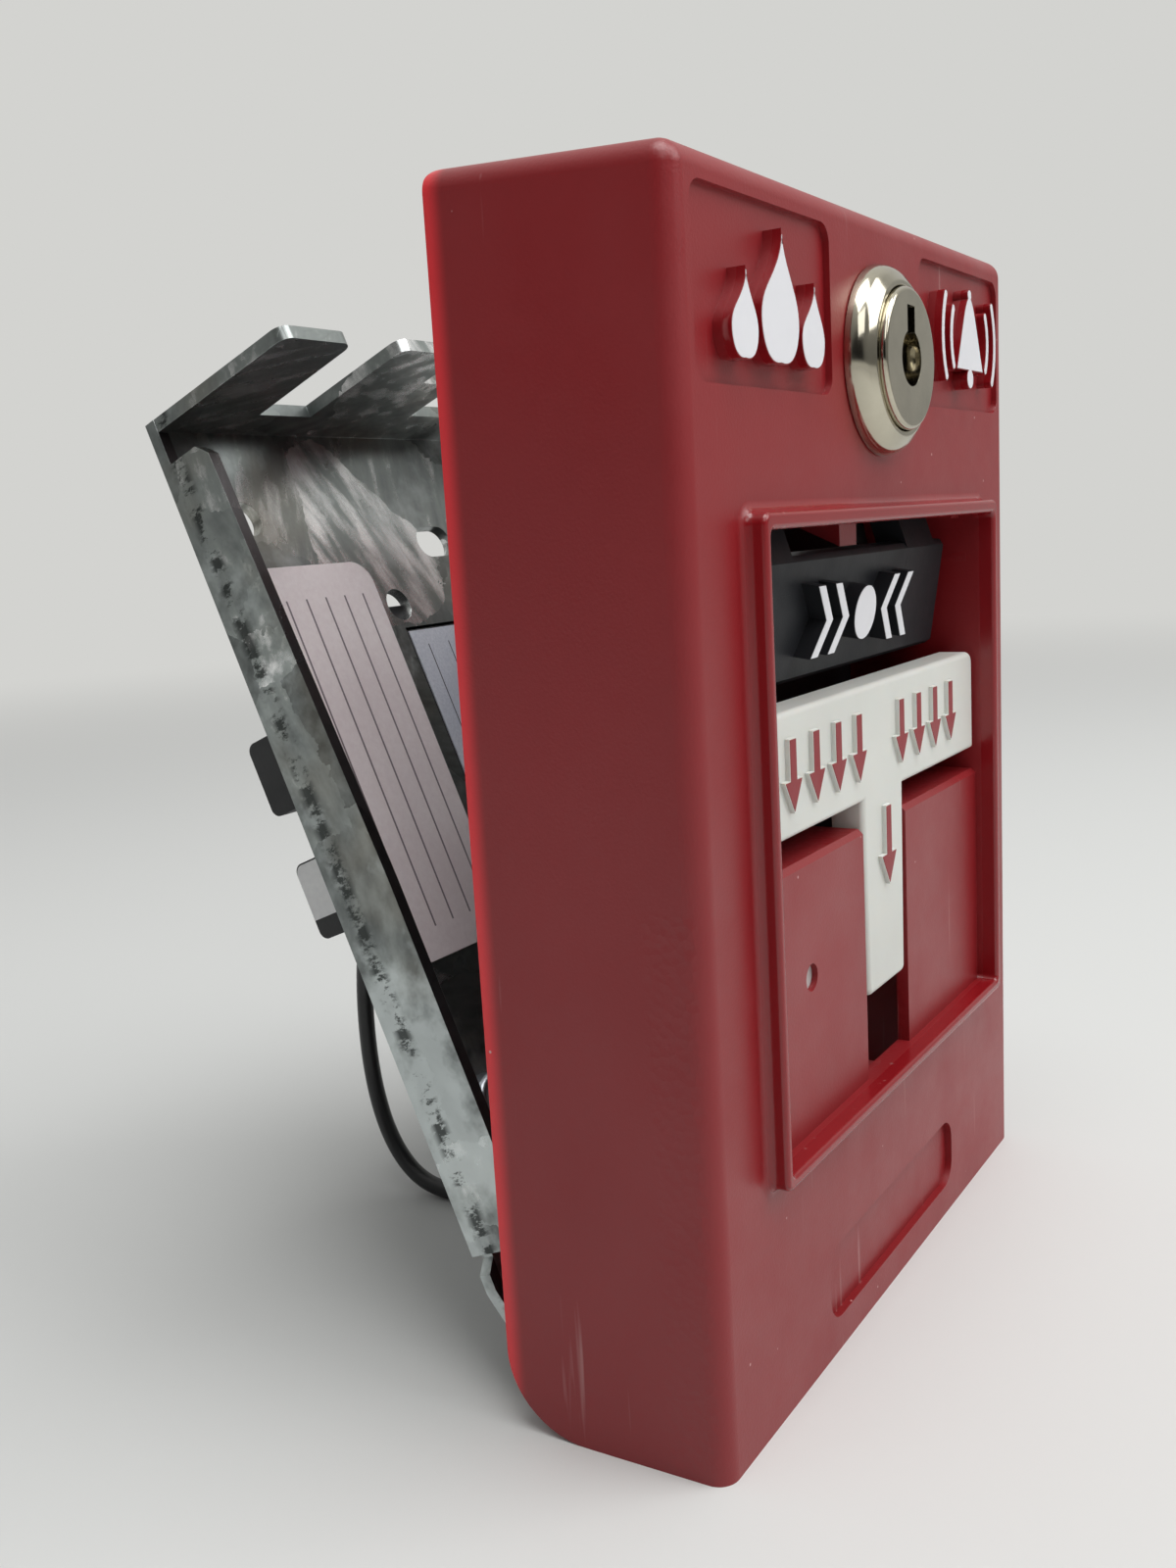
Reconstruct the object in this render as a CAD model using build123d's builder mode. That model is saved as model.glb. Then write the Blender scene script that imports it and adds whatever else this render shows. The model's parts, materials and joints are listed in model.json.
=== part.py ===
"""Double-action manual call point: push plate, pull-down lever, key-locked cover on a steel plate.

Frame: millimetres, +Z up, -Y is the front. The origin is the middle of the cover's flat foot. The
cover stands upright, and the mounting plate hangs open behind it on two hooks at the foot.
"""

from build123d import *
import os
from math import atan2, cos, degrees, radians, sin, sqrt, tan

os.makedirs("parts", exist_ok=True)


def write(name, piece):
    """Label a finished piece and write it as its own STEP file."""
    piece.part.label = name
    export_step(piece.part, f"parts/{name}.step")


def facing(y):
    """Upright plane at depth y, seen from the front: its sketches use (x, z)."""
    return Plane.XZ.offset(-y)


# ---------------------------------------------------------------- cover shell
cover_width = 95.25
cover_height = 127.0
cover_depth = 25.2
cover_draft = 1.2  # how much narrower the front is, on each side
side_wall = 1.9
front_wall = 2.0
floor_wall = 2.2
top_wall = 2.0
cover_edge_radius = 2.3
top_back_radius = 1.2
foot_radius = 9.0  # rounded rear lower corner, which lets the cover swing down
floor_end_gap = 5.0  # the floor stops this far before the open back, for the hooks

front_y = -(cover_depth - foot_radius) / 2
back_y = front_y + cover_depth
wall_y = front_y + front_wall  # inside face of the front wall
inner_half = cover_width / 2 - side_wall  # inside half width at the open back

# ---------------------------------------------------------------- window, rim and cheeks
window_half = 34.2
window_bottom = 28.2
window_top = 92.6
window_corner = 0.7
rim_corner = 1.2
rim_side = 1.3
rim_top = 1.7
rim_bottom = 1.4
rim_height = 2.4
rim_round = 0.55
rim_cove = 1.2
cheek_step = 0.5  # the cheeks lie this far behind the cover's face
cheek_top = 58.2
cheek_bevel = 0.6
stem_slot_half = 6.8
cheek_y = front_y + cheek_step
ledge_y = 4.0  # how far back the ledges behind the cheeks' tops reach
ledge_wall = 1.5
well_wall = 1.5  # walls that run inwards from the window's sides
guard_y = 10.3  # front face of the guard that closes the mechanism's space
guard_thick = 1.2
guard_low = 50.0
guard_high = 97.0
guard_edge = 3.0  # from its screws' axes to the guard's sides
guard_boss_radius = 2.4
guard_boss_x = window_half + 2.3
guard_boss_z = (55.0, 87.0)
guard_screw_radius = 1.1

# ---------------------------------------------------------------- legend panels and name recess
panel_inner = 13.3
panel_outer = 43.4
panel_top = cover_height - 4.2
panel_bottom = panel_top - 17.0
panel_depth = 0.7
panel_corner = 2.0
relief_bottom = panel_bottom + 2.2
relief_height = 12.4
relief_proud = 1.2  # tops of the raised artwork stand this far in front of the face
relief_x = (panel_inner + panel_outer) / 2
flame_width = 8.6
small_flame = 0.66  # size of the outer flames against the middle one
flame_pitch = 7.6
name_recess_half = 20.6
name_recess_bottom = 3.9
name_recess_height = 9.0
name_recess_depth = 0.9
name_recess_corner = 3.0

# ---------------------------------------------------------------- hinge and mounting plate
sheet = 1.5
rest_opening = 22.3  # degrees between the cover and the plate as the object stands
trunnion_radius = 2.0
trunnion_length = 7.0
hook_clearance = 0.15
hinge_y = 11.6
hinge_z = 6.5
web_to_hinge = 6.7  # from the plate's rear face forward to the hinge axis

# ---------------------------------------------------------------- pull lever
lever_pivot_y = 0.0
lever_pivot_z = 42.0
lever_pin_radius = 1.5
lever_hub_radius = 4.5
lever_gap = 0.5  # between the stem and the slot's sides
lever_thick = 4.0
lever_bar_half = 33.3
lever_bar_bottom = 61.2
lever_bar_top = 74.4
stem_bottom = 37.8
stem_foot_half = 5.8
lever_tail_reach = 7.8
lever_tail_half = 4.0
lever_mark_height = 0.5
lever_corner = 1.6
lever_foot_corner = 1.0
lever_edge = 0.7

# ---------------------------------------------------------------- push plate
push_half = 31.0
push_top_y = -4.9
push_top_z = 89.5
push_height = 13.9
push_corner = 0.8
push_edge = 0.6
push_tilt = 9.0  # degrees: its lower edge leans inwards
push_thick = 2.5
push_relief = 2.0
rod_radius = 1.0
rod_y = -1.2
rod_z = 94.2
knuckle_radius = 1.9
ear_inner = 17.0
ear_outer = 27.0
rod_lug_inner = 28.4
rod_lug_outer = 31.4

# ---------------------------------------------------------------- lock
lock_z = cover_height - 17.0
bezel_radius = 10.3
bezel_height = 3.0
bezel_side = 0.3  # straight part of the bezel's side, next to the cover
bezel_ring = 0.6  # width of the flat ring round the plug
bezel_dome_radius = 2.6
bezel_dome_angle = 62.0  # degrees that the dome turns before it runs straight to the ring
lock_body_radius = 9.5
lock_body_flats = 16.0
lock_body_end = 2.0
nut_across_flats = 22.0
nut_thick = 4.0
plug_radius = 7.65
plug_core_radius = 5.5
plug_fit = 0.1
collar_radius = 6.0
cam_thick = 2.0
cam_tail_side = 7.0
cam_hub_radius = 6.0
cam_half = 4.5
cam_reach = 10.2
cam_screw_radius = 2.0
cam_y = 6.6

embed = 0.5  # how far what is moulded onto a wall reaches into it
fixed_fit = 0.02  # radial room between pieces that are pressed or screwed together
running_fit = 0.1  # radial room where a piece turns or slides

# =================================================================== artwork outlines


def flame(width, height):
    """Sketch of a flame whose base stands on the origin."""
    with BuildSketch() as outline:
        with BuildLine():
            Spline(
                (0, 0),
                (0.40 * width, 0.10 * height),
                (0.50 * width, 0.36 * height),
                (0.26 * width, 0.70 * height),
                (0.10 * width, height),
            )
            Spline(
                (0.10 * width, height),
                (-0.16 * width, 0.66 * height),
                (-0.46 * width, 0.40 * height),
                (-0.38 * width, 0.10 * height),
                (0, 0),
            )
        make_face()
    return outline.sketch


def bell(height):
    """Sketch of a ringing bell with two arcs of sound on each side, centred on the origin."""
    half = height / 2
    with BuildSketch() as outline:
        with BuildLine():
            Line((-0.42 * height, -0.30 * height), (0.42 * height, -0.30 * height))
            Spline(
                (0.42 * height, -0.30 * height),
                (0.27 * height, 0.02 * height),
                (0, 0.42 * height),
                (-0.27 * height, 0.02 * height),
                (-0.42 * height, -0.30 * height),
            )
        make_face()
        with Locations((0, -0.38 * height)):
            Circle(0.10 * height)
        with Locations((0, 0.44 * height)):
            Circle(0.06 * height)
        for side in (0, 180):
            for reach in (1.15 * half, 1.65 * half):
                SlotArc(CenterArc((0, 0), reach, side - 28, 56), 0.09 * height)
    return outline.sketch


def down_arrow(width, height, shaft):
    """Sketch of a slender downward arrow centred on the origin."""
    top, neck = height / 2, 0.8 * width - height / 2
    with BuildSketch() as outline:
        with BuildLine():
            Polyline(
                (-shaft / 2, top),
                (-shaft / 2, neck),
                (-width / 2, neck),
                (0, -height / 2),
                (width / 2, neck),
                (shaft / 2, neck),
                (shaft / 2, top),
                close=True,
            )
        make_face()
    return outline.sketch


def chevron(width, height, stroke):
    """Sketch of a chevron pointing to +x, centred on the origin."""
    with BuildSketch() as outline:
        with BuildLine():
            Polyline(
                (-width / 2, height / 2),
                (-width / 2 + stroke, height / 2),
                (width / 2, 0),
                (-width / 2 + stroke, -height / 2),
                (-width / 2, -height / 2),
                (width / 2 - stroke, 0),
                close=True,
            )
        make_face()
    return outline.sketch


# =================================================================== front cover

lock_hole = 0.15  # room round the lock's body in the cover
light_hole_radius = 1.5
light_x = -22.0
light_z = 45.2
lever_boss_gap = 0.2
lever_boss_width = 3.5
lever_boss_radius = 3.5
lever_boss_inner = stem_slot_half + lever_boss_gap
lever_boss_outer = lever_boss_inner + lever_boss_width
center_rib_half = 2.5
center_rib_gap = 0.6  # from the window's top edge up to the rib
center_rib_y = -3.9  # the rib's front edge
center_rib_bottom = 90.0
spring_post_x = 12.5
spring_post_half = 3.0
spring_post_bottom = 97.0
spring_post_height = 6.0
spring_post_y = 1.2
detent_post_half = 4.0
detent_post_bottom = 21.0
detent_post_height = 5.0
detent_post_y = -2.6
guard_screw_length = 6.0



def drafted_block(half, low, high, front, back):
    """Block from front to back whose front is a draft narrower on each side and lower at its top.

    The sloping top reaches its full height where the rounding of the back edge begins.
    """
    crest = high + cover_draft * top_back_radius / (back - front - top_back_radius)
    with BuildPart() as block:
        with BuildSketch(Plane.XY.offset(low)):
            with BuildLine():
                Polyline(
                    (-half, back), (half, back), (half - cover_draft, front), (cover_draft - half, front),
                    close=True,
                )
            make_face()
        extrude(amount=high - low)
        with BuildSketch(Plane.YZ):
            with BuildLine():
                Polyline((front, low), (back, low), (back, crest), (front, high - cover_draft), close=True)
            make_face()
        extrude(amount=half, both=True, mode=Mode.INTERSECT)
    return block.part


cover_block = drafted_block(cover_width / 2, 0, cover_height, front_y, back_y)
cover_hollow = drafted_block(inner_half, floor_wall, cover_height - top_wall, wall_y, back_y)

with BuildPart() as front_cover:
    add(cover_block)
    fillet(front_cover.edges().group_by(Axis.Y)[-1].sort_by(Axis.Z)[0], foot_radius)
    front_loop = front_cover.faces().sort_by(Axis.Y)[0].edges().filter_by(lambda e: e.center().Z > 1)
    top_corners = front_cover.faces().sort_by(Axis.Z)[-1].edges().filter_by(
        lambda e: abs(e.center().X) > cover_width / 4
    )
    fillet(front_loop + top_corners, cover_edge_radius)
    with BuildSketch(Plane.YZ):
        with Locations((back_y, cover_height - top_back_radius)):
            Rectangle(top_back_radius, 2 * top_back_radius, align=(Align.MAX, Align.MIN))
        with Locations((back_y - top_back_radius, cover_height - top_back_radius)):
            Circle(top_back_radius, mode=Mode.SUBTRACT)
    extrude(amount=cover_width, both=True, mode=Mode.SUBTRACT)

    # Raised rim round the window, with a cove at its root and a rounded front edge.
    rim_low, rim_high = window_bottom - rim_bottom, window_top + rim_top
    with BuildSketch(facing(front_y)):
        with Locations((0, (rim_low + rim_high) / 2)):
            RectangleRounded(2 * (window_half + rim_side), rim_high - rim_low, rim_corner)
    extrude(amount=rim_height)
    root = front_cover.edges().filter_by_position(Axis.Y, front_y - 0.01, front_y + 0.01)
    fillet(
        root.filter_by(
            lambda e: abs(e.center().X) < window_half + 2 * rim_side
            and rim_low - 1 < e.center().Z < rim_high + 1
        ),
        rim_cove,
    )
    fillet(front_cover.edges().group_by(Axis.Y)[0], rim_round)
    with BuildSketch(facing(front_y - rim_height)):
        with Locations((0, (window_bottom + window_top) / 2)):
            RectangleRounded(2 * window_half, window_top - window_bottom, window_corner)
    extrude(amount=-(rim_height + cheek_step), mode=Mode.SUBTRACT)
    front_ring = front_cover.faces().sort_by(Axis.Y)[0]
    fillet(front_ring.inner_wires()[0].edges(), rim_round)

    # Sunk panels for the artwork, and the bare recess above the foot.
    with BuildSketch(facing(front_y)):
        panel_x = (panel_inner + panel_outer) / 2
        with Locations((-panel_x, (panel_bottom + panel_top) / 2), (panel_x, (panel_bottom + panel_top) / 2)):
            RectangleRounded(panel_outer - panel_inner, panel_top - panel_bottom, panel_corner)
    extrude(amount=-panel_depth, mode=Mode.SUBTRACT)
    with BuildSketch(facing(front_y)):
        with Locations((0, name_recess_bottom + name_recess_height / 2)):
            RectangleRounded(2 * name_recess_half, name_recess_height, name_recess_corner)
    extrude(amount=-name_recess_depth, mode=Mode.SUBTRACT)

    # Hollow, open at the back and behind the end of the floor.
    add(cover_hollow, mode=Mode.SUBTRACT)
    with BuildSketch(Plane.YZ):
        with Locations((back_y - floor_end_gap, -floor_wall)):
            Rectangle(2 * floor_end_gap, 3 * floor_wall, align=(Align.MIN, Align.MIN))
    extrude(amount=inner_half - cover_draft, both=True, mode=Mode.SUBTRACT)

    # T-shaped opening for the push plate and the lever.
    with BuildSketch(facing(cheek_y)):
        with Locations((0, (cheek_top + window_top) / 2)):
            Rectangle(2 * window_half, window_top - cheek_top)
        with Locations((0, window_bottom)):
            Rectangle(2 * stem_slot_half, cheek_top - window_bottom, align=(Align.CENTER, Align.MIN))
    extrude(amount=-front_wall, mode=Mode.SUBTRACT)
    level_edges = front_cover.edges().filter_by(Axis.X)
    cheek_edges = level_edges.filter_by_position(Axis.Y, cheek_y - 0.01, cheek_y + 0.01)
    chamfer(cheek_edges.filter_by_position(Axis.Z, cheek_top - 0.01, cheek_top + 0.01), cheek_bevel)

    # Raised artwork on the panels.
    panel_floor = front_y + panel_depth
    relief_middle = relief_bottom + relief_height / 2
    with BuildSketch(facing(panel_floor)):
        with Locations((-relief_x, relief_bottom)):
            add(flame(flame_width, relief_height))
        with Locations((-relief_x - flame_pitch, relief_bottom), (flame_pitch - relief_x, relief_bottom)):
            add(flame(small_flame * flame_width, small_flame * relief_height))
        with Locations((relief_x, relief_middle)):
            add(bell(relief_height))
    extrude(amount=panel_depth + relief_proud)

    # Hole for the lock's body, with two flats that stop it turning.
    with BuildSketch(facing(front_y)):
        with Locations((0, lock_z)):
            Circle(lock_body_radius + lock_hole)
            Rectangle(lock_body_flats + 2 * lock_hole, 3 * lock_body_radius, mode=Mode.INTERSECT)
    extrude(amount=-front_wall, mode=Mode.SUBTRACT)
    with BuildSketch(facing(cheek_y)):
        with Locations((light_x, light_z)):
            Circle(light_hole_radius)
    extrude(amount=-front_wall, mode=Mode.SUBTRACT)

    # Bosses for the lever's pin, behind the cheeks.
    for side in (-1, 1):
        with BuildSketch(Plane.YZ.offset(side * lever_boss_inner)):
            with Locations((lever_pivot_y, lever_pivot_z)):
                Circle(lever_boss_radius)
                Rectangle(
                    lever_pivot_y - wall_y + embed, 2 * lever_boss_radius, align=(Align.MAX, Align.CENTER)
                )
                Circle(lever_pin_radius + fixed_fit, mode=Mode.SUBTRACT)
        extrude(amount=side * lever_boss_width)

    # Lugs that hold the push plate's rod, and the rib between its ears.
    for start, end in ((rod_lug_inner, rod_lug_outer), (-rod_lug_outer, -rod_lug_inner)):
        with BuildSketch(Plane.YZ.offset(start)):
            with Locations((rod_y, rod_z)):
                Circle(2 * rod_radius)
                Rectangle(rod_y - wall_y + embed, 4 * rod_radius, align=(Align.MAX, Align.CENTER))
                Circle(rod_radius + fixed_fit, mode=Mode.SUBTRACT)
        extrude(amount=end - start)
    with BuildSketch(Plane.YZ.offset(-center_rib_half)):
        with BuildLine():
            Polyline(
                (wall_y - embed, window_top + center_rib_gap),
                (center_rib_y, window_top + center_rib_gap),
                (center_rib_y, center_rib_bottom),
                (rod_y + 2 * rod_radius, rod_z - 2 * rod_radius),
                (rod_y + 2 * rod_radius, rod_z + 2 * rod_radius),
                (wall_y - embed, rod_z + 4 * rod_radius),
                close=True,
            )
        make_face()
        with Locations((rod_y, rod_z)):
            Circle(rod_radius + running_fit, mode=Mode.SUBTRACT)
    extrude(amount=2 * center_rib_half)

    # Ledges that run inwards from the cheeks' tops.
    for start, end in ((-window_half, -stem_slot_half), (stem_slot_half, window_half)):
        with BuildSketch(facing(ledge_y)):
            with Locations((start, cheek_top - ledge_wall)):
                Rectangle(end - start, ledge_wall, align=(Align.MIN, Align.MIN))
        extrude(amount=ledge_y - cheek_y - front_wall + embed)

    # Walls down the window's sides, and bosses that carry the guard behind the mechanism.
    for side in (-1, 1):
        with BuildSketch(facing(guard_y)):
            with Locations((side * (window_half + well_wall / 2), window_bottom)):
                Rectangle(well_wall, window_top - window_bottom, align=(Align.CENTER, Align.MIN))
            with Locations([(side * guard_boss_x, z) for z in guard_boss_z]):
                Circle(guard_boss_radius)
        extrude(amount=guard_y - wall_y + embed)
    with BuildSketch(facing(guard_y)):
        with Locations([(side * guard_boss_x, z) for side in (-1, 1) for z in guard_boss_z]):
            Circle(guard_screw_radius + fixed_fit)
    extrude(amount=guard_screw_length, mode=Mode.SUBTRACT)

    # Posts for the leaf springs: two above the window, one below the lever.
    with BuildSketch(facing(spring_post_y)):
        with Locations((-spring_post_x, spring_post_bottom), (spring_post_x, spring_post_bottom)):
            Rectangle(2 * spring_post_half, spring_post_height, align=(Align.CENTER, Align.MIN))
    extrude(amount=spring_post_y - wall_y + embed)
    with BuildSketch(facing(detent_post_y)):
        with Locations((0, detent_post_bottom)):
            Rectangle(2 * detent_post_half, detent_post_height, align=(Align.CENTER, Align.MIN))
    extrude(amount=detent_post_y - wall_y + embed)

    # Hinge trunnions, one from each side wall.
    for side in (-1, 1):
        with BuildSketch(Plane.YZ.offset(side * (inner_half - trunnion_length))):
            with Locations((hinge_y, hinge_z)):
                Circle(trunnion_radius)
        extrude(amount=side * (trunnion_length + side_wall / 2))

write("front_cover", front_cover)

# =================================================================== guard behind the mechanism

guard_head_radius = 2.1
guard_head = 1.4
guard_corner = 1.5
guard_spots = [(side * guard_boss_x, z) for side in (-1, 1) for z in guard_boss_z]

with BuildPart() as mechanism_guard:
    with BuildSketch(facing(guard_y)):
        with Locations((0, (guard_low + guard_high) / 2)):
            RectangleRounded(2 * (guard_boss_x + guard_edge), guard_high - guard_low, guard_corner)
        with Locations(guard_spots):
            Circle(guard_screw_radius + running_fit, mode=Mode.SUBTRACT)
    extrude(amount=-guard_thick)
write("mechanism_guard", mechanism_guard)

guard_back = guard_y + guard_thick

with BuildPart() as guard_screws:
    with BuildSketch(facing(guard_back + guard_head)):
        with Locations(guard_spots):
            Circle(guard_head_radius)
    extrude(amount=guard_head)
    fillet(guard_screws.edges().group_by(Axis.Y)[-1], guard_head / 3)
    with BuildSketch(facing(guard_back)):
        with Locations(guard_spots):
            Circle(guard_screw_radius)
    extrude(amount=guard_thick + guard_screw_length - fixed_fit)
    with BuildSketch(facing(guard_back + guard_head)):
        with Locations(guard_spots):
            Rectangle(guard_head_radius, guard_head_radius / 4)
            Rectangle(guard_head_radius / 4, guard_head_radius)
    extrude(amount=guard_head / 2, mode=Mode.SUBTRACT)
write("guard_screws", guard_screws)

# =================================================================== light pipe

light_pipe_sunk = 0.7
light_pipe_flange_radius = 2.6
light_pipe_flange = 1.0
light_pipe_end = 12.0

with BuildPart() as light_pipe:
    with BuildSketch(facing(cheek_y + light_pipe_sunk)):
        with Locations((light_x, light_z)):
            Circle(light_hole_radius - fixed_fit)
    extrude(amount=-(light_pipe_end - cheek_y - light_pipe_sunk))
    with BuildSketch(facing(wall_y)):
        with Locations((light_x, light_z)):
            Circle(light_pipe_flange_radius)
    extrude(amount=-light_pipe_flange)
write("light_pipe", light_pipe)

# =================================================================== lock

plug_proud = 0.8
plug_disc_depth = 2.7
bezel_front_y = front_y - bezel_height
plug_front_y = bezel_front_y - plug_proud
plug_step_y = plug_front_y + plug_disc_depth
key_ring_radius = 3.0
key_ring_depth = 3.4
key_slot_width = 2.3
key_slot_reach = 5.6
key_post_radius = 1.6
key_post_sunk = 1.5

ring_outer = plug_radius + plug_fit + bezel_ring

with BuildPart() as lock_body:
    # Domed bezel, turned about the lock's axis: side, flank, shoulder and the flat ring.
    with BuildSketch(Plane.YZ):
        with BuildLine():
            side_end = (front_y - bezel_side, lock_z + bezel_radius)
            ring_edge = (bezel_front_y, lock_z + ring_outer)
            Polyline((front_y, lock_z), (front_y, lock_z + bezel_radius), side_end)
            flank = JernArc(
                start=side_end, tangent=(-1, 0), radius=bezel_dome_radius, arc_size=bezel_dome_angle,
            )
            Polyline(flank @ 1, ring_edge, (bezel_front_y, lock_z), (front_y, lock_z))
        make_face()
    revolve(axis=Axis((0, 0, lock_z), (0, 1, 0)))
    with BuildSketch(facing(lock_body_end)):
        with Locations((0, lock_z)):
            Circle(lock_body_radius)
            Rectangle(lock_body_flats, 3 * lock_body_radius, mode=Mode.INTERSECT)
    extrude(amount=lock_body_end - front_y)
    with BuildSketch(facing(bezel_front_y)):
        with Locations((0, lock_z)):
            Circle(plug_radius + plug_fit)
    extrude(amount=-(plug_step_y + plug_fit - bezel_front_y), mode=Mode.SUBTRACT)
    with BuildSketch(facing(bezel_front_y)):
        with Locations((0, lock_z)):
            Circle(plug_core_radius + plug_fit)
    extrude(amount=-(lock_body_end - bezel_front_y), mode=Mode.SUBTRACT)
write("lock_body", lock_body)

with BuildPart() as lock_nut:
    with BuildSketch(facing(wall_y)):
        with Locations((0, lock_z)):
            RegularPolygon(nut_across_flats / 2, 6, major_radius=False)
            Circle(lock_body_radius + fixed_fit, mode=Mode.SUBTRACT)
    extrude(amount=-nut_thick)
    chamfer(lock_nut.edges().filter_by(GeomType.LINE).group_by(Axis.Y)[-1], 0.5)
write("lock_nut", lock_nut)

collar_front = lock_body_end + running_fit
cam_back = cam_y + cam_thick

with BuildPart() as lock_plug:
    with BuildSketch(facing(plug_front_y)):
        with Locations((0, lock_z)):
            Circle(plug_radius)
    extrude(amount=-plug_disc_depth)
    fillet(lock_plug.edges().group_by(Axis.Y)[0], 0.5)
    with BuildSketch(facing(plug_step_y)):
        with Locations((0, lock_z)):
            Circle(plug_core_radius)
    extrude(amount=-(collar_front - plug_step_y))
    with BuildSketch(facing(collar_front)):
        with Locations((0, lock_z)):
            Circle(collar_radius)
    extrude(amount=-(cam_y - collar_front))
    with BuildSketch(facing(cam_y)):
        with Locations((0, lock_z)):
            Rectangle(cam_tail_side, cam_tail_side)
    extrude(amount=-cam_thick)
    # Round keyway with its slot, and the threaded hole of the cam's screw.
    with BuildSketch(facing(plug_front_y)):
        with Locations((0, lock_z)):
            Circle(key_ring_radius)
            Rectangle(key_slot_width, key_slot_reach, align=(Align.CENTER, Align.MIN))
    extrude(amount=-key_ring_depth, mode=Mode.SUBTRACT)
    with BuildSketch(facing(cam_back)):
        with Locations((0, lock_z)):
            Circle(cam_screw_radius + fixed_fit)
    extrude(amount=cam_back - collar_front, mode=Mode.SUBTRACT)
write("lock_plug", lock_plug)

with BuildPart() as key_post:
    with BuildSketch(facing(plug_front_y + key_ring_depth)):
        with Locations((0, lock_z)):
            Circle(key_post_radius)
    extrude(amount=key_ring_depth - key_post_sunk)
    fillet(key_post.edges().group_by(Axis.Y)[0], key_post_radius / 2)
write("key_post", key_post)

with BuildPart() as lock_cam:
    with BuildSketch(facing(cam_y)):
        with Locations((0, lock_z)):
            Circle(cam_reach)
            Rectangle(cam_reach, 2 * cam_half, align=(Align.MAX, Align.CENTER), mode=Mode.INTERSECT)
            Circle(cam_hub_radius)
            Rectangle(cam_tail_side + 2 * fixed_fit, cam_tail_side + 2 * fixed_fit, mode=Mode.SUBTRACT)
    extrude(amount=-cam_thick)
write("lock_cam", lock_cam)

cam_head_radius = 5.0
cam_head = 2.2

with BuildPart() as cam_screw:
    with BuildSketch(facing(cam_back)):
        with Locations((0, lock_z)):
            Circle(cam_head_radius)
    extrude(amount=-cam_head)
    fillet(cam_screw.edges().group_by(Axis.Y)[-1], 0.8)
    with BuildSketch(facing(cam_back)):
        with Locations((0, lock_z)):
            Circle(cam_screw_radius)
    extrude(amount=cam_back - collar_front - 1)
    with BuildSketch(facing(cam_back + cam_head)):
        with Locations((0, lock_z)):
            Rectangle(6.0, 1.0)
            Rectangle(1.0, 6.0)
    extrude(amount=1.3, mode=Mode.SUBTRACT)
write("cam_screw", cam_screw)

# =================================================================== pull lever

stem_top_half = stem_slot_half - lever_gap
lever_front_y = cheek_y
lever_back_y = lever_front_y + lever_thick
bushing_radius = 2.5
bar_mark_width = 4.4
bar_mark_height = 7.8
bar_mark_pitch = 5.9
bar_marks = 4
bar_mark_z = (lever_bar_bottom + lever_bar_top) / 2
left_marks_x = -17.2
right_marks_x = 13.8
stem_mark_z = 55.0
stem_mark_width = 4.8
stem_mark_height = 9.6
mark_stroke = 1.7

with BuildPart() as pull_handle:
    with BuildSketch(facing(lever_front_y)) as tee:
        with BuildLine():
            Polyline(
                (-stem_foot_half, stem_bottom),
                (stem_foot_half, stem_bottom),
                (stem_top_half, lever_bar_bottom),
                (lever_bar_half, lever_bar_bottom),
                (lever_bar_half, lever_bar_top),
                (-lever_bar_half, lever_bar_top),
                (-lever_bar_half, lever_bar_bottom),
                (-stem_top_half, lever_bar_bottom),
                close=True,
            )
        make_face()
        fillet(tee.vertices().group_by(Axis.Y)[-1], lever_corner)
        fillet(tee.vertices().group_by(Axis.Y)[0], lever_foot_corner)
    extrude(amount=-lever_thick)
    fillet(pull_handle.faces().sort_by(Axis.Y)[0].edges(), lever_edge)

    # Hub on the pivot, the heel that joins it to the stem, and the tail that faces the switch.
    with BuildSketch(Plane.YZ):
        with Locations((lever_pivot_y, lever_pivot_z)):
            Circle(lever_hub_radius)
            Rectangle(
                lever_pivot_y - lever_back_y + 1, 2 * lever_hub_radius, align=(Align.MAX, Align.CENTER)
            )
    extrude(amount=stem_foot_half, both=True)
    with BuildSketch(Plane.YZ):
        with Locations((lever_pivot_y, lever_pivot_z)):
            Circle(lever_tail_reach)
            Rectangle(
                lever_tail_reach, lever_tail_half, align=(Align.MIN, Align.MAX), mode=Mode.INTERSECT
            )
    extrude(amount=lever_tail_half, both=True)

    # Stiffening rib up the back of the stem.
    with BuildSketch(Plane.YZ):
        with BuildLine():
            Polyline(
                (lever_back_y - 1, lever_pivot_z),
                (lever_pivot_y, lever_pivot_z + lever_hub_radius - 0.5),
                (lever_back_y, lever_bar_top - 5),
                (lever_back_y - 1, lever_bar_top - 5),
                close=True,
            )
        make_face()
    extrude(amount=1.5, both=True)
    with BuildSketch(Plane.YZ):
        with Locations((lever_pivot_y, lever_pivot_z)):
            Circle(bushing_radius + fixed_fit)
    extrude(amount=stem_slot_half, both=True, mode=Mode.SUBTRACT)

    # Raised direction marks: two groups on the bar and one arrow on the stem.
    with BuildSketch(facing(lever_front_y)):
        for group_x in (left_marks_x, right_marks_x):
            first = group_x - (bar_marks - 1) * bar_mark_pitch / 2
            with Locations([(first + i * bar_mark_pitch, bar_mark_z) for i in range(bar_marks)]):
                add(down_arrow(bar_mark_width, bar_mark_height, mark_stroke))
        with Locations((0, stem_mark_z)):
            add(down_arrow(stem_mark_width, stem_mark_height, mark_stroke))
    extrude(amount=lever_mark_height)
write("pull_handle", pull_handle)

bushing_half = lever_boss_inner - running_fit

with BuildPart() as handle_bushing:
    with BuildSketch(Plane.YZ):
        with Locations((lever_pivot_y, lever_pivot_z)):
            Circle(bushing_radius)
            Circle(lever_pin_radius + running_fit, mode=Mode.SUBTRACT)
    extrude(amount=bushing_half, both=True)
write("handle_bushing", handle_bushing)

clip_thick = 0.6
clip_groove = 0.35
lever_pin_half = lever_boss_outer + 2 * clip_thick

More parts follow.
